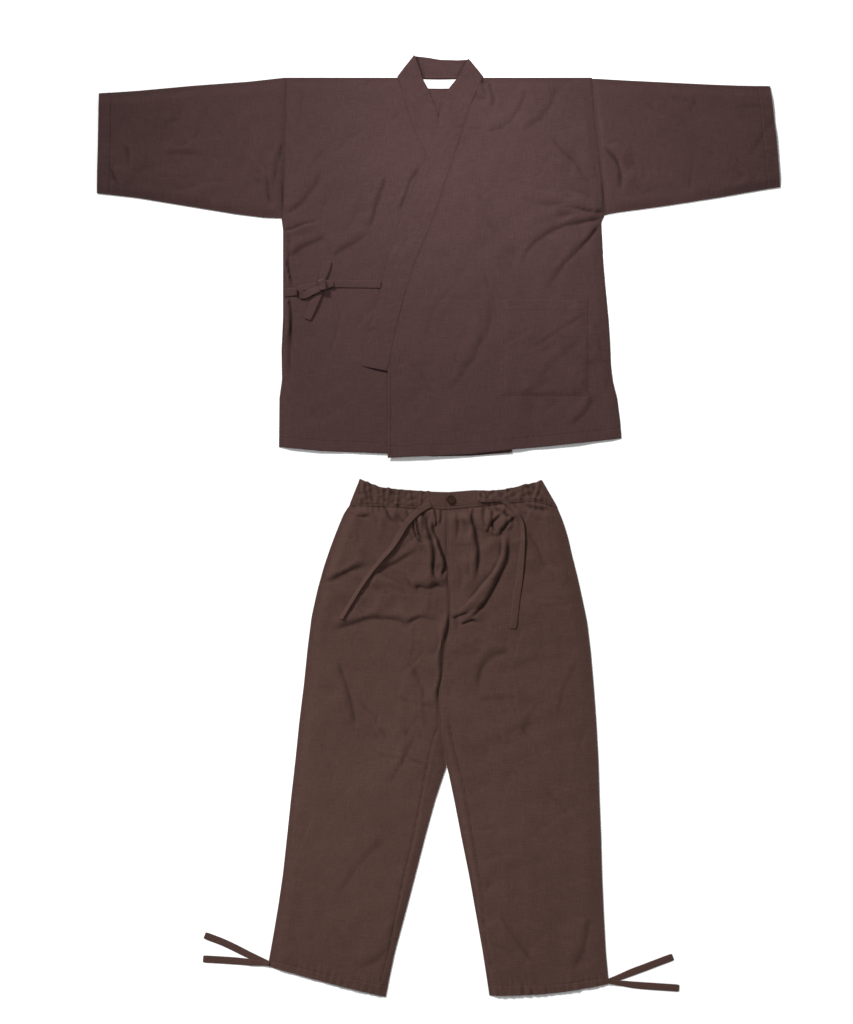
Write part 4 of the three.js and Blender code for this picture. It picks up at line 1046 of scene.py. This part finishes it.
# legs: rows from the waist seam to the hem with outer x, outer y, inner x and inner y, and the inseam's line
legs = {
    "right": {
        "name": "leg_right", "side": -1, "bulge": 2.0, "loft": 2.5, "seed": 101,
        "flat": (0.60, 0.965), "area": 0.482,
        "rows": [
            (-173, 42, 16, 35), (-184, 26, 16, 10), (-196, -3, 16, -20), (-209, -37, 16, -55),
            (-223, -78, 18, -95), (-236, -125, 21, -140), (-247, -175, 21, -190), (-255, -238, 12, -250),
            (-262, -307, 3, -320), (-271, -380, 4, -395), (-279, -458, 15, -469), (-287, -528, -7, -535),
            (-295, -605, -27, -608), (-303, -678, -46, -682), (-312, -740, -65, -755),
            (-323, -805, -85, -828), (-329, -838, -96, -880), (-332, -857, -103, -917),
        ],
        "creases": [  # depth, width, side of the fold, line
            (4.0, 5.0, 1, [(-108, 50), (-103, 36), (-94, 18), (-80, 2)]),
            (1.6, 4.2, 0, [(-122, 46), (-119, 36), (-112, 20)]),
            (2.4, 4.0, 1, [(-180, 44), (-160, 36), (-138, 39)]),
            (2.0, 4.5, 1, [(-176, 28), (-152, 21), (-126, 26)]),
            (3.6, 3.4, -1, [(-10, 40), (-7, 22), (-5, 6), (-9, -6)]),
            (4.4, 4.0, -1, [(-4, -22), (1, -44), (11, -60), (14, -76), (9, -92), (16, -108)]),
            (2.6, 3.0, -1, [(-34, 36), (-31, 20), (-30, 2), (-26, -12)]),
            (2.4, 3.2, 1, [(-62, 32), (-58, 14), (-60, -4)]),
            (1.8, 8.4, 1, [(-169, 36), (-149, 24), (-122, 20)]),
            (1.5, 5.6, 0, [(-83, 34), (-71, 13), (-64, 2)]),
            (4.6, 5.0, -1, [(-52, 14), (-47, -8), (-38, -26), (-24, -34)]),
            (3.2, 3.6, -1, [(-44, 20), (-41, 2), (-36, -18), (-30, -30)]),
            (6.0, 6.0, -1, [(-27, 30), (-22, 2), (-15, -18), (-12, -45), (-12, -80), (-7, -98), (6, -110)]),
            (4.2, 4.2, -1, [(-15, 20), (-9, -10), (-1, -32), (4, -52), (12, -66), (12, -80), (4, -96)]),
            (3.4, 8.0, 1, [(-46, -126), (-34, -116), (-18, -118), (-4, -114), (8, -119), (22, -122)]),
            (1.6, 4.0, 0, [(-16, -126), (-17, -150), (-15, -176)]),
            (2.6, 4.0, -1, [(3, 38), (5, 18), (3, -2)]),
            (3.6, 11.0, 1, [(-226, -112), (-182, -92), (-155, -82), (-126, -78)]),
            (2.2, 8.0, 1, [(-122, -81), (-90, -72), (-60, -58), (-34, -42)]),
            (2.2, 9.0, -1, [(-124, -84), (-95, -100), (-62, -126)]),
            (1.6, 8.4, 0, [(-229, -151), (-219, -132), (-206, -112)]),
            (3.2, 9.0, 1, [
                (-212, -210), (-180, -194), (-146, -183), (-104, -178), (-84, -181), (-62, -190),
                (-46, -183), (-30, -178), (-4, -182), (22, -176)]),
            (2.6, 4.0, -1, [(20, -164), (17, -196), (11, -226), (5, -256), (-1, -323), (-6, -410)]),
            (1.3, 14.0, 0, [(-173, -26), (-182, -58), (-202, -85)]),
            (2.0, 8.0, -1, [(-196, -260), (-178, -319), (-167, -362), (-159, -401)]),
            (1.5, 9.6, -1, [(-50, -270), (-30, -332), (-28, -412)]),
            (1.0, 11.2, 0, [(-139, -446), (-143, -490)]),
            (1.0, 12.0, -1, [(-106, -607), (-159, -666), (-200, -738)]),
            (1.3, 11.0, -1, [(-87, -763), (-100, -826), (-169, -869)]),
            (1.8, 5.0, -1, [(26, -167), (17, -214), (9, -268), (1, -323), (-5, -410)]),
            (1.0, 19.6, 0, [(-251, -299), (-260, -377), (-270, -455)]),
            (0.9, 25.2, 0, [(-192, -494), (-182, -592), (-192, -670)]),
            (0.9, 16.8, 0, [(-75, -514), (-91, -592), (-104, -650)]),
            (0.9, 19.6, 0, [(-270, -689), (-260, -748), (-274, -816)]),
            (0.9, 12.6, 0, [(-95, -221), (-79, -245), (-56, -260)]),
        ],
        "inseam": [
            (3, -381), (-15, -430), (-36, -539), (-53, -621), (-69, -690), (-83, -758), (-98, -830),
            (-112, -884),
        ],
    },
    "left": {
        "name": "leg_left", "side": 1, "bulge": 7.0, "loft": 2.5, "seed": 111,
        "flat": (0.60, 0.965), "area": 0.506,
        "rows": [
            (231, 38, 17, 35), (243, 8, 17, 10), (252, -22, 17, -20), (260, -58, 17, -55), (270, -97, 19, -95),
            (280, -143, 22, -140), (289, -186, 22, -190), (296, -245, 13, -250), (302, -315, 4, -320),
            (307, -385, 5, -395), (311, -460, 17, -469), (313, -530, 31, -535), (316, -605, 45, -608),
            (318, -680, 60, -682), (321, -750, 73, -755), (325, -826, 86, -828), (329, -870, 94, -880),
            (331, -892, 99, -914),
        ],
        "creases": [  # depth, width, side of the fold, line
            (4.8, 6.0, -1, [(62, 36), (67, 5), (72, -22), (76, -50), (75, -82), (72, -118)]),
            (4.2, 7.6, -1, [
                (137, -10), (133, -50), (127, -76), (112, -110), (95, -140), (78, -162), (58, -180),
                (38, -190)]),
            (2.8, 5.6, 1, [(121, -16), (119, -52), (106, -84), (80, -116), (56, -144), (32, -168)]),
            (2.6, 4.0, 1, [(26, -180), (44, -170), (64, -161)]),
            (3.4, 4.6, 1, [(94, -14), (102, 4), (116, 20), (136, 32)]),
            (3.0, 4.2, 1, [(120, -22), (126, -4), (140, 12), (158, 22)]),
            (2.6, 4.2, -1, [(70, 38), (67, 22), (66, 2)]),
            (3.0, 4.0, 1, [(42, -192), (58, -184), (68, -182), (82, -192)]),
            (2.2, 5.0, 0, [(24, -162), (32, -184), (36, -210)]),
            (3.2, 4.5, -1, [(104, 34), (105, 6), (112, -14)]),
            (2.8, 4.5, 1, [(110, 36), (124, 26), (140, 18), (152, 4)]),
            (2.4, 4.5, -1, [(126, 32), (133, 14), (126, -8)]),
            (2.0, 5.0, -1, [(142, 22), (144, 4), (136, -14)]),
            (2.4, 5.0, -1, [(88, 38), (86, 14), (93, -10)]),
            (2.6, 6.0, 1, [(168, 42), (190, 36), (224, 32)]),
            (2.0, 8.0, 0, [(166, 30), (182, 19), (214, 11)]),
            (2.0, 9.0, -1, [(172, -10), (190, -42), (210, -84)]),
            (1.8, 4.0, -1, [(33, 30), (37, 0), (33, -34)]),
            (1.3, 5.0, 0, [(49, 28), (51, -4), (48, -40)]),
            (1.2, 3.2, 0, [(20, -35), (44, -34), (68, -37)]),
            (1.6, 6.0, 0, [(34, -60), (42, -95), (36, -135)]),
            (1.4, 5.0, 0, [(60, -50), (58, -85), (62, -112)]),
            (2.0, 10.0, -1, [(143, -237), (100, -256), (77, -290), (81, -327)]),
            (1.3, 15.4, 0, [(100, -303), (132, -358), (163, -383)]),
            (1.3, 14.0, 0, [(143, -471), (128, -510), (116, -545)]),
            (1.0, 11.2, 0, [(284, -494), (272, -522), (260, -545)]),
            (1.6, 9.0, -1, [(120, -752), (157, -816), (206, -875)]),
            (1.6, 11.2, -1, [(299, -760), (280, -826), (262, -869)]),
            (1.2, 7.0, 0, [(102, -689), (91, -724)]),
            (0.8, 25.2, 0, [(159, -455), (208, -514), (221, -592)]),
            (0.9, 19.6, 0, [(256, -260), (272, -338), (276, -416)]),
            (0.9, 19.6, 0, [(178, -182), (208, -221), (227, -280)]),
            (0.8, 16.8, 0, [(61, -338), (81, -416), (100, -494)]),
            (0.9, 16.8, 0, [(130, -650), (159, -709), (198, -758)]),
            (0.9, 16.8, 0, [(237, -689), (247, -767), (229, -826)]),
        ],
        "inseam": [(17, -364), (28, -430), (48, -508), (65, -605), (81, -703), (91, -800), (104, -865)],
    },
}

# waistband: its two edges, its flat stretch by the fly, the fly, its height, its levels in front and behind,
# and how much lower the front is at its sides
waist = {
    "lower": [
        (-173, 42), (-118, 41), (-59, 38), (17, 35.3), (71, 40), (143, 48), (178, 51), (208, 46), (231, 38),
    ],
    "upper": [
        (-153, 91), (-137, 86), (-114, 77), (-83, 73), (-13, 68), (19, 67), (69, 71), (104, 70), (132, 73),
        (159, 79), (201, 89),
    ],
    "flatLeft": -14.0, "flatRight": 73.0, "opening": 16.6, "tall": 38, "seamY": 38, "gather": 11.5,
    "front": 3.2, "back": 1.0, "sideDrop": 0.8, "seed": 121,
}
centreSeam = [
    (-469, 16), (-395, 4.5), (-320, 3.5), (-250, 12.5), (-190, 21.5), (-140, 21.5), (-95, 18.5), (-55, 16.5),
    (35, 16.5),
]


# gathers of the waist: seeded places along it, each with its height, width, lean, reach and place on the band
def drawGathers():
    draw = np.random.default_rng(waist["seed"])
    found = []
    for start, end in ((-170.0, waist["flatLeft"]), (waist["flatRight"], 228.0)):
        at = start
        while at < end - 3:
            big = 1.6 * bell((at + 130) / 24) + 1.2 * bell((at - 190) / 34)
            found.append((
                at, draw.uniform(0.6, 3.0) + big, draw.uniform(2.0, 4.6) * (1 + 0.2 * big),
                draw.uniform(-0.55, 0.55), draw.uniform(12, 60), draw.uniform(-0.5, 1.5),
            ))
            at += waist["gather"] * draw.uniform(0.55, 1.5)
    return found


gathers = drawGathers()


# height of the gathers at a point, down from the waist seam along each one's lean
def gatherLift(x, y, top):
    total = np.zeros(np.broadcast(x, y).shape)
    down = np.maximum(top - y, 0)
    for at, height, width, lean, reach, _ in gathers:
        q = (x - at - lean * down) / (width * (1 + down / 60))
        total += height * bell(q) * np.exp(-down / reach)
    return total


# height of the waist seam: low, over the gathers caught in it
def waistSeamHeight(x):
    return 1.75 + 0.45 * gatherLift(x, waist["seamY"], waist["seamY"])


# trouser leg: levels from the waist seam down, each from the inner edge out over the side fold and back below
def leg(form):
    rows = np.array(form["rows"], float)
    steps = np.hypot(np.diff(rows[:, 2] + rows[:, 0]), np.diff(rows[:, 3] + rows[:, 1])) / 2
    down = np.concatenate([[0], np.cumsum(steps)])
    tall, wide, hemTurn = down[-1], 275.0, 16
    crotchY, seatY = -482, -455
    # closer levels in the gathered part near the waist
    closeTo = 255.0
    rest = tall - closeTo
    lower = closeTo + places(rest, 3.9, [rest - hemTurn, rest])[1:] * rest
    t = np.concatenate([places(closeTo, 2.2, [0]) * closeTo, lower])[:, None] / tall
    level = t * tall
    outerX, outerY, innerX, innerY = (
        look(np.column_stack([down, rows[:, n]]), level, 1, 7.0) for n in range(4)
    )
    joined = soft((innerY - crotchY) / 26)
    innerX = mix(innerX, look(centreSeam, innerY, 1, 8.0) + form["side"] * 0.05, joined)
    radius = (cut["foldTop"] - cut["low"]) / 2
    outerX = outerX - form["side"] * radius
    nearHem = bell((tall - level) / 40)

    # flat places of one layer: between the inner and the outer line at a share, bowed at the hem
    def placeAt(share):
        x = mix(innerX, outerX, share)
        y = mix(innerY, outerY, share) - form["bulge"] * nearHem * np.sin(np.pi * share)
        topLine = mix(rows[0, 3], rows[0, 1], share)
        waistLine = look(waist["lower"], x, 1, 5.0) - 0.5
        y = y + (waistLine - topLine) * np.maximum(0, 1 - level / 110)
        return np.stack([x, y, np.full(x.shape, cut["low"])], axis=-1)

    s = places(wide, 2.9, [0, wide])[None, :]
    upper = placeAt(s)
    x, y = upper[..., 0], upper[..., 1]
    inward = s * np.abs(outerX - innerX)
    outward = (1 - s) * np.abs(outerX - innerX)
    atSeat = soft((y - seatY) / 70)
    rise = mix(soft(inward / 16), mix(0.62, 1, soft(inward / 6)), atSeat) * soft(outward / 26)
    uneven = 0.55 * waves(x, y, 170, form["seed"]) + 0.25 * waves(x, y, 52, form["seed"] + 1)
    hips = 2.6 * bell((y + 60) / 130)
    lift = form["loft"] + hips + uneven + 0.5 * gatherLift(x, y, waist["seamY"])
    z = mix(cut["onLow"], cut["foldTop"], s) + lift * rise
    z = mix(waistSeamHeight(x), z, soft((level + 2) / 28))
    z = z + creaseLift(x, y, form["creases"], 1.2, 1.15, 1.2) * rise * soft((level + 1) / 7)
    fromHem = (tall - level) + 0 * s
    pull = waves(x, y * 0.25, 12, form["seed"] + 3, 10) * bell(fromHem / 24)
    z = z + (0.45 * pull + 0.3 * soft((hemTurn + 1 - fromHem) / 2)) * rise
    z = z + 0.8 * stitchDip(fromHem - hemTurn, x, form["seed"] + 4, 0.5)
    far, side, share = nearLine(x, y, curveThrough(form["inseam"], 40))
    z = z + stitchDip(far, y, form["seed"] + 5, 0.7, 2.6) * soft(share / 0.05)
    z = z + 0.5 * bell((far * side * form["side"] + 6) / 5) * soft(share / 0.1)
    upper[..., 2] = overAtLeast(z, cut["onLow"], 0.25)
    middle = foldedOver(upper, placeAt, 30, (form["side"], 0), cut["low"])
    flat = np.stack([alongRows(middle), middle[..., 1]], axis=-1)
    fromHem = np.repeat(tall - level, middle.shape[1], axis=1)
    piece = clothShell(form["name"] + "_cloth", middle, cut["thick"], trouserCloth, flat, edgeWear(fromHem))
    settle(piece, form["name"])


legs["right"]["creases"] += fineCreases(46, -310, 0, -860, 20, 12, 1.2)
legs["left"]["creases"] += fineCreases(46, 20, 300, -860, 20, 13, 1.7)
for form in legs.values():
    leg(form)
print("legs laid")


# waistband: one doubled strip from the fly round the front, the side turns and the back, and again to the fly
def waistband():
    low, high, tall = waist["lower"], waist["upper"], waist["tall"]
    turn = (waist["front"] - waist["sideDrop"] - waist["back"]) / 2
    opening = (waist["opening"] - low[0][0]) / (low[-1][0] - low[0][0])
    t = places(tall, 2.6, [0, 3, tall - 3, tall])[:, None]
    right = np.linspace(opening + 0.0002, 1, 110)
    back = np.linspace(1, 0, 60)
    left = np.linspace(0, opening - 0.0002, 110)

    # flat places between the two edges, shares of the way along them, at one level
    def placeAt(share, z):
        lowX = mix(low[0][0] + turn, low[-1][0] - turn, share)[None, :]
        highX = mix(high[0][0] + turn, high[-1][0] - turn, share)[None, :]
        lowY = look(low, lowX, 1, 5.0)
        highY = look(high, highX, 1, 4.0)
        x = mix(lowX, highX, t)
        y = mix(lowY, highY, t)
        return np.stack([x, y, z + 0 * x], axis=-1)

    # a front stretch: gathered outside its flat part, pressed down at its seam and at the fly
    def frontAt(share):
        grid = placeAt(share, waist["front"])
        x, y = grid[..., 0], grid[..., 1]
        edge = soft(np.minimum(share, 1 - share) * 22)[None, :]
        foot = look(low, x, 1, 5.0)
        lift = np.zeros(x.shape)
        for at, height, width, lean, _, place in gathers:
            q = (x - at + lean * 0.6 * (y - foot)) / (width * 0.9)
            lift += 1.15 * height * bell(q) * (0.25 + 0.75 * bell((t - place) / 0.75))
        flatPart = soft((x - waist["flatLeft"] + 6) / 6) * soft((waist["flatRight"] + 6 - x) / 6)
        lift = lift * (1 - flatPart) * (0.8 + 0.2 * np.sin(np.pi * t))
        press = -0.7 * bell((y - foot) / 2.0) + 0.45 * waves(x, y, 13, 122) * (1 - flatPart)
        press = press + 0.25 * stitchDip((y - foot) - 4, x, 123, 0.6)
        end = -0.5 * bell((x - waist["opening"]) / 1.6)
        relief = (lift + press + 0.3 * waves(x, y, 60, 124)) * edge
        grid[..., 2] += relief + end - waist["sideDrop"] * (1 - edge)
        atFoot = 1 - soft((y - foot) / 6)
        grid[..., 2] = mix(grid[..., 2], np.maximum(waistSeamHeight(x) + 0.85, 2.3), atFoot * edge)
        grid[..., 1] -= 1.6 * (1 - soft((y - foot) / 5))
        grid[..., 1] += (0.7 * waves(x, 0 * y, 15, 125) + 0.3 * lift) * (1 - flatPart) * t
        return grid

    one, two = frontAt(right), frontAt(left)
    under = placeAt(back, waist["back"])
    under[..., 2] += 0.12 * np.abs(waves(under[..., 0], under[..., 1], 14, 126))
    rightTurn = halfTurn(one[:, -1], (1, 0), waist["back"])
    leftTurn = halfTurn(two[:, 0], (-1, 0), waist["back"])[:, ::-1]
    middle = np.concatenate([one, rightTurn, under, leftTurn, two], axis=1)
    flat = np.stack([alongRows(middle), middle[..., 1]], axis=-1)
    wear = edgeWear(np.repeat((1 - t) * tall, middle.shape[1], axis=1))
    return clothShell(
        "waistband_cloth", middle, cut["doubled"], trouserCloth, flat, wear, edge=0.55, up=(0.5, 0.1),
    )


piece = waistband()
settle(
    piece, "waistband",
)
print("waistband laid")


# free ends of the waist cord and the hem cords: width, thickness, roll in degrees, width from above and path
ties = {
    "waist_tie_right": {
        "width": 12.0, "thick": 1.8, "roll": [0, 4, 10, 16, 24, 30, 34, 34, 34, 32, 26],
        "seen": [13, 13, 12.5, 12, 11, 9.5, 8, 7.5, 7.5, 7.5, 8],
        "path": [
            (-15, 44), (-29, 37), (-45, 25), (-63, 6), (-76, -16), (-92, -41), (-112, -64), (-130, -86),
            (-150, -114), (-170, -146), (-190, -179),
        ],
    },
    "waist_tie_left": {
        "width": 12.5, "thick": 1.8, "roll": [4, 8, 12, 16, 20, 24, 26, 24, 18, 10, 4, 0, 0],
        "seen": [8, 8, 8, 7.5, 7.5, 8, 8, 8, 10, 12.5, 14, 14.5, 14.5],
        "path": [
            (76, 53), (92, 51), (108, 52), (124, 50), (139, 40), (152, 26), (161, 8), (164, -14), (163, -40),
            (160, -75), (156, -110), (151, -145), (145, -198),
        ],
    },
    "right_leg_tie_upper": {
        "width": 14.0, "thick": 1.3, "roll": [0] * 8, "seen": [7, 9.5, 12, 13.5, 14, 14, 14, 14],
        "path": [
            (-329.6, -850.6), (-344, -845.5), (-358, -840), (-372, -834), (-386, -827), (-402, -819),
            (-424, -809), (-456, -797),
        ],
    },
    "right_leg_tie_lower": {
        "width": 14.0, "thick": 1.3, "roll": [0] * 5, "seen": [7, 12, 14, 14, 14],
        "path": [(-329.6, -852.4), (-358, -850), (-395, -847), (-424, -845), (-459, -843)],
    },
    "left_leg_tie_upper": {
        "width": 14.0, "thick": 1.3, "roll": [0] * 8, "seen": [7, 9.5, 12, 13.5, 14, 14, 14, 14],
        "path": [
            (329.6, -885.4), (344, -881.3), (357, -877), (372, -871), (385, -866), (404, -859), (430, -849),
            (457, -839),
        ],
    },
    "left_leg_tie_lower": {
        "width": 14.0, "thick": 1.3, "roll": [0] * 6, "seen": [7, 10, 13, 14, 14, 14],
        "path": [(329.6, -886.8), (350, -889.5), (380, -893.5), (410, -896), (440, -898), (469, -900)],
    },
}


# flat tie: a flattened oval carried along a path and rolled about it, on the ground below it, with square ends
def flatTie(name, form, material, clear=0.15):
    path = np.array(form["path"], float)
    count = max(24, int(np.hypot(*np.diff(path, axis=0).T).sum() / 3.0))
    line = curveThrough(path, count)

    # a value at every place of the tie, from a few along it
    def spread(values):
        return curveThrough(np.column_stack([values, values]), count)[:, 0]

    thick = form["thick"]
    turned = np.radians(spread(form["roll"]))
    half = spread(form["seen"]) / 2 / np.cos(turned)
    step = np.gradient(line, axis=0)
    step /= np.linalg.norm(step, axis=1, keepdims=True)
    side = np.column_stack([-step[:, 1], step[:, 0]])
    # the ground under the tie's width, smoothed along it so that it bridges small hollows
    offsets = [side * (half * f * np.cos(turned))[:, None] for f in (-0.9, -0.45, 0, 0.45, 0.9)]
    under = np.max([groundAt(*(line + offset).T) for offset in offsets], axis=0)
    kernel = np.hanning(9)[1:-1] / np.hanning(9)[1:-1].sum()
    smooth = np.convolve(np.pad(under, 3, mode="edge"), kernel, mode="valid")
    base = np.maximum(smooth, under) + clear
    if "rise" in form:
        base = base + spread(form["rise"])
    mid = base + half * np.abs(np.sin(turned)) + thick / 2 * np.cos(turned)
    around = 20
    ring = 2 * np.pi * np.arange(around) / around
    a = np.sign(np.cos(ring)) * np.abs(np.cos(ring)) ** 0.55 * half[:, None]
    b = np.sign(np.sin(ring)) * np.abs(np.sin(ring)) ** 0.55 * thick / 2 + 0 * a
    across = a * np.cos(turned)[:, None] - b * np.sin(turned)[:, None]
    lift = a * np.sin(turned)[:, None] + b * np.cos(turned)[:, None]
    shrink = np.ones(count)
    shrink[[0, -1]] = 0.86
    across = across * shrink[:, None]
    points = np.empty((count, around, 3))
    points[..., :2] = line[:, None, :] + side[:, None, :] * across[..., None]
    points[..., 2] = mid[:, None] + lift * np.where(shrink < 1, 0.6, 1)[:, None]
    k = np.arange(count * around).reshape(count, around)
    after = np.roll(k, -1, axis=1)
    tube = np.stack([k[:-1], after[:-1], after[1:], k[1:]], axis=-1).reshape(-1, 4)
    # each end is closed by a strip of quads from side to side
    caps = []
    for row, turnedRound in ((k[0], True), (k[-1], False)):
        pairs = [(row[n], row[n + 1], row[18 - n], row[19 - n]) for n in range(9)]
        caps += [p[::-1] if turnedRound else p for p in pairs]
    faces = np.vstack([tube, np.array(caps)])
    at = points.reshape(-1, 3) - points.mean((0, 1))
    if np.einsum("ij,ij->i", at[tube[:, 0]], np.cross(at[tube[:, 1]], at[tube[:, 2]])).sum() < 0:
        faces = faces[:, ::-1]
    flat = np.stack([a, lengthsAlong(line)[:, None] + 0 * a], axis=-1).reshape(-1, 2)
    wear = 0.25 * np.abs(np.cos(ring))[None, :] ** 6 + 0 * a
    addToGround(points[:, np.r_[0:11], :])
    piece = meshFrom(name, points.reshape(-1, 3), faces, material, flat, {"wear": wear.ravel()}, sharp=60)
    return piece, np.column_stack([line, mid])


for name, form in ties.items():
    piece, centre = flatTie(name + "_cloth", form, trouserCloth)
    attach(piece, "root")
    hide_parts(name)
    points = centre * metre
print("free ties laid")

# the jacket's two ties and the bow that they make, from the lowest up
bow = {
    "jacket_tie_left": {
        "width": 14.5, "thick": 1.6, "roll": [0, 0, 0, -4, -8], "rise": [0, 0, 0, 0.3, 0.9],
        "seen": [15, 15, 15, 14, 13],
        "path": [(-113, 471.5), (-140, 472), (-170, 472.5), (-195, 472.5), (-213, 471)],
    },
    "bow_loop_back": {
        "width": 13.0, "thick": 1.5, "roll": [0, 4, 4, -6], "rise": [0.6, 0.6, 0.4, 0],
        "seen": [13, 14, 13, 10], "path": [(-229, 468), (-246, 467), (-264, 465), (-279, 461)],
    },
    "jacket_tie_right": {
        "width": 14.5, "thick": 1.7, "roll": [0, 4, 8], "rise": [0.2, 0.1, 0.6],
        "seen": [16, 16, 14], "path": [(-301, 455.5), (-290, 456.5), (-276, 457.5)],
    },
    "bow_tail_upper": {
        "width": 17.0, "thick": 1.6, "roll": [-6, -6, -6, -5], "rise": [0.5, 0.5, 0.3, 0.2],
        "seen": [12, 15, 17, 18], "path": [(-229, 472), (-225, 488), (-220, 503), (-217.5, 518)],
    },
    "bow_tail_lower": {
        "width": 15.0, "thick": 1.6, "roll": [7, 7, 6, 5], "rise": [0.4, 0.4, 0.3, 0.2],
        "seen": [13, 15, 16, 15], "path": [(-230, 460), (-239, 442), (-247, 424), (-256, 404)],
    },
    "bow_loop_right": {
        "width": 13.0, "thick": 1.9, "roll": [8, 8, 4, -8], "rise": [0.2, 0.3, 0.3, 0.1],
        "seen": [12, 13, 14, 16], "path": [(-229, 464), (-246, 457), (-259, 451), (-271, 451)],
    },
    "bow_knot_fold": {
        "width": 17.5, "thick": 2.0, "roll": [6, 3, -9], "rise": [0.1, 0.2, 0],
        "seen": [19, 16, 11], "path": [(-224, 470), (-214, 472), (-205, 473.5)],
    },
    "bow_knot": {
        "width": 13.0, "thick": 3.2, "roll": [-5, 2, 7], "rise": [0, 0, 0],
        "seen": [11, 13, 11], "path": [(-229.5, 481), (-226, 471), (-225, 460)],
    },
}
for name, form in bow.items():
    piece, centre = flatTie(name + "_cloth", form, jacketCloth)
    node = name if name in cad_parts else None
    settle(piece, node)
print("bow tied")


# a row of stitches at one distance above or below an outline that runs by x, a point each 2 mm
def offsetRow(table, low, high, up):
    x = np.arange(low, high, 2.0)
    return np.column_stack([x, look(table, x) + up])


# a row of stitches at one distance beside an outline that runs by y, a point each 2 mm
def sideRow(table, low, high, inward):
    y = np.arange(low, high, 2.0)
    return np.column_stack([look(table, y) + inward, y])


cuffRight = [(844, -662), (650, -666)]
cuffLeft = [(858, 646), (662, 666)]
jacketRows = [
    offsetRow(jacketHems["right"], -309, -100, frontRight["hemFold"]),
    offsetRow(jacketHems["left"], -96, 354, frontLeft["hemFold"]),
    sideRow([(120, -98.8), (304, -98.8)], 140, 300, frontLeft["facing"]),
    sideRow(bands["left"], 310, 868, 2.4),
    sideRow(bands["right"], 700, 868, -2.4),
    sideRow(cuffRight, 654, 840, 24),
    sideRow(cuffLeft, 666, 854, -24),
    sideRow([(256, 122), (442, 122)], 259, 440, pocket["inset"]),
    sideRow([(256, 290.5), (442, 290.5)], 259, 440, -pocket["inset"]),
    offsetRow([(122, 256), (290.5, 256)], 126, 287, pocket["inset"]),
    offsetRow([(122, 442), (290.5, 442)], 126, 287, -pocket["mouth"]),
    offsetRow([(-76, 879.2), (82, 879.2)], -70, 76, 0),
    offsetRow([(-70, 884), (76, 884)], -66, 72, 0),
    offsetRow(neckEdge, -42, 54, -5),
    offsetRow([(-212, 465.8), (-113, 466)], -206, -115, 0),
    sideRow([(460, -116), (480, -116)], 465, 478, 0),
    sideRow([(460, -119.5), (480, -119.5)], 465, 478, 0),
    sideRow(jacketSides["left"], 615, 866, -2.5),
    sideRow(jacketSides["right"], 612, 866, 2.5),
]
stitches("jacket_stitching", jacketRows, jacketThread)

centreFront = [
    (35, 15.6), (-54, 16.6), (-124, 19.5), (-167, 21.0), (-202, 20), (-227, 16.6), (-284, 9), (-344, 4),
    (-469, 16),
]
fly = curveThrough([(73, 14), (74, -30), (72, -80), (62, -120), (46, -148), (30, -163)], 120)
trouserRows = [
    offsetRow(waist["lower"], -168, 226, 4.0),
    offsetRow(waist["lower"], -168, 226, -2.6),
    sideRow(centreFront, -460, 30, 2.6),
    fly,
    np.column_stack([fly[:, 0] - 5, fly[:, 1]]),
    curveThrough(legs["right"]["inseam"], 260) + (-2.4, 0),
    curveThrough(legs["left"]["inseam"], 260) + (2.4, 0),
]
for form in legs.values():
    ends = form["rows"][-1]
    share = np.linspace(0.02, 0.97, 140)
    x = mix(ends[2], ends[0], share)
    y = mix(ends[3], ends[1], share) - form["bulge"] * np.sin(np.pi * share) + 16
    trouserRows.append(np.column_stack([x, y]))
stitches("trouser_stitching", trouserRows, trouserThread)

# the button keeps its own solid; four strands of thread cross its holes, each a small arched bead
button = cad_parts["button"]
button.data.materials.clear()
button.data.materials.append(resinFinish)
buttonPlace = {"x": 24.0, "y": 53.0, "hole": 1.9, "strand": 0.26}

hole = buttonPlace["hole"]
x = buttonPlace["x"] + np.array([-1, 1]) * (hole + 0.8)
y = buttonPlace["y"] + np.array([-hole - 0.25, -hole + 0.25, hole - 0.25, hole + 0.25])
_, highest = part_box("button")
share = np.linspace(0, 1, 9)
ring = 2 * np.pi * np.arange(8) / 8
middle = np.empty((4, 9, 3))
middle[..., 0] = mix(x[0], x[1], share)[None, :]
middle[..., 1] = y[:, None]
middle[..., 2] = highest.z / metre - 0.75 - 0.9 + 1.1 * np.sin(np.pi * share) ** 0.6
out = np.stack([0 * ring, np.cos(ring), np.sin(ring)], axis=-1)
points = middle[:, :, None, :] + buttonPlace["strand"] * out[None, None, :, :]
k = np.arange(72).reshape(9, 8)
after = np.roll(k, -1, axis=1)
one = np.stack([k[:-1], after[:-1], after[1:], k[1:]], axis=-1).reshape(-1, 4)
caps = np.array([
    (0, 1, 6, 7), (1, 2, 5, 6), (2, 3, 4, 5), (71, 70, 65, 64), (70, 69, 66, 65), (69, 68, 67, 66),
])
one = np.vstack([one[:, ::-1], caps])
faces = (one[None, :, :] + 72 * np.arange(4)[:, None, None]).reshape(-1, 4)
piece = meshFrom("button_thread_strands", points.reshape(-1, 3), faces, buttonThread)
settle(piece, None)
print("stitched and buttoned")
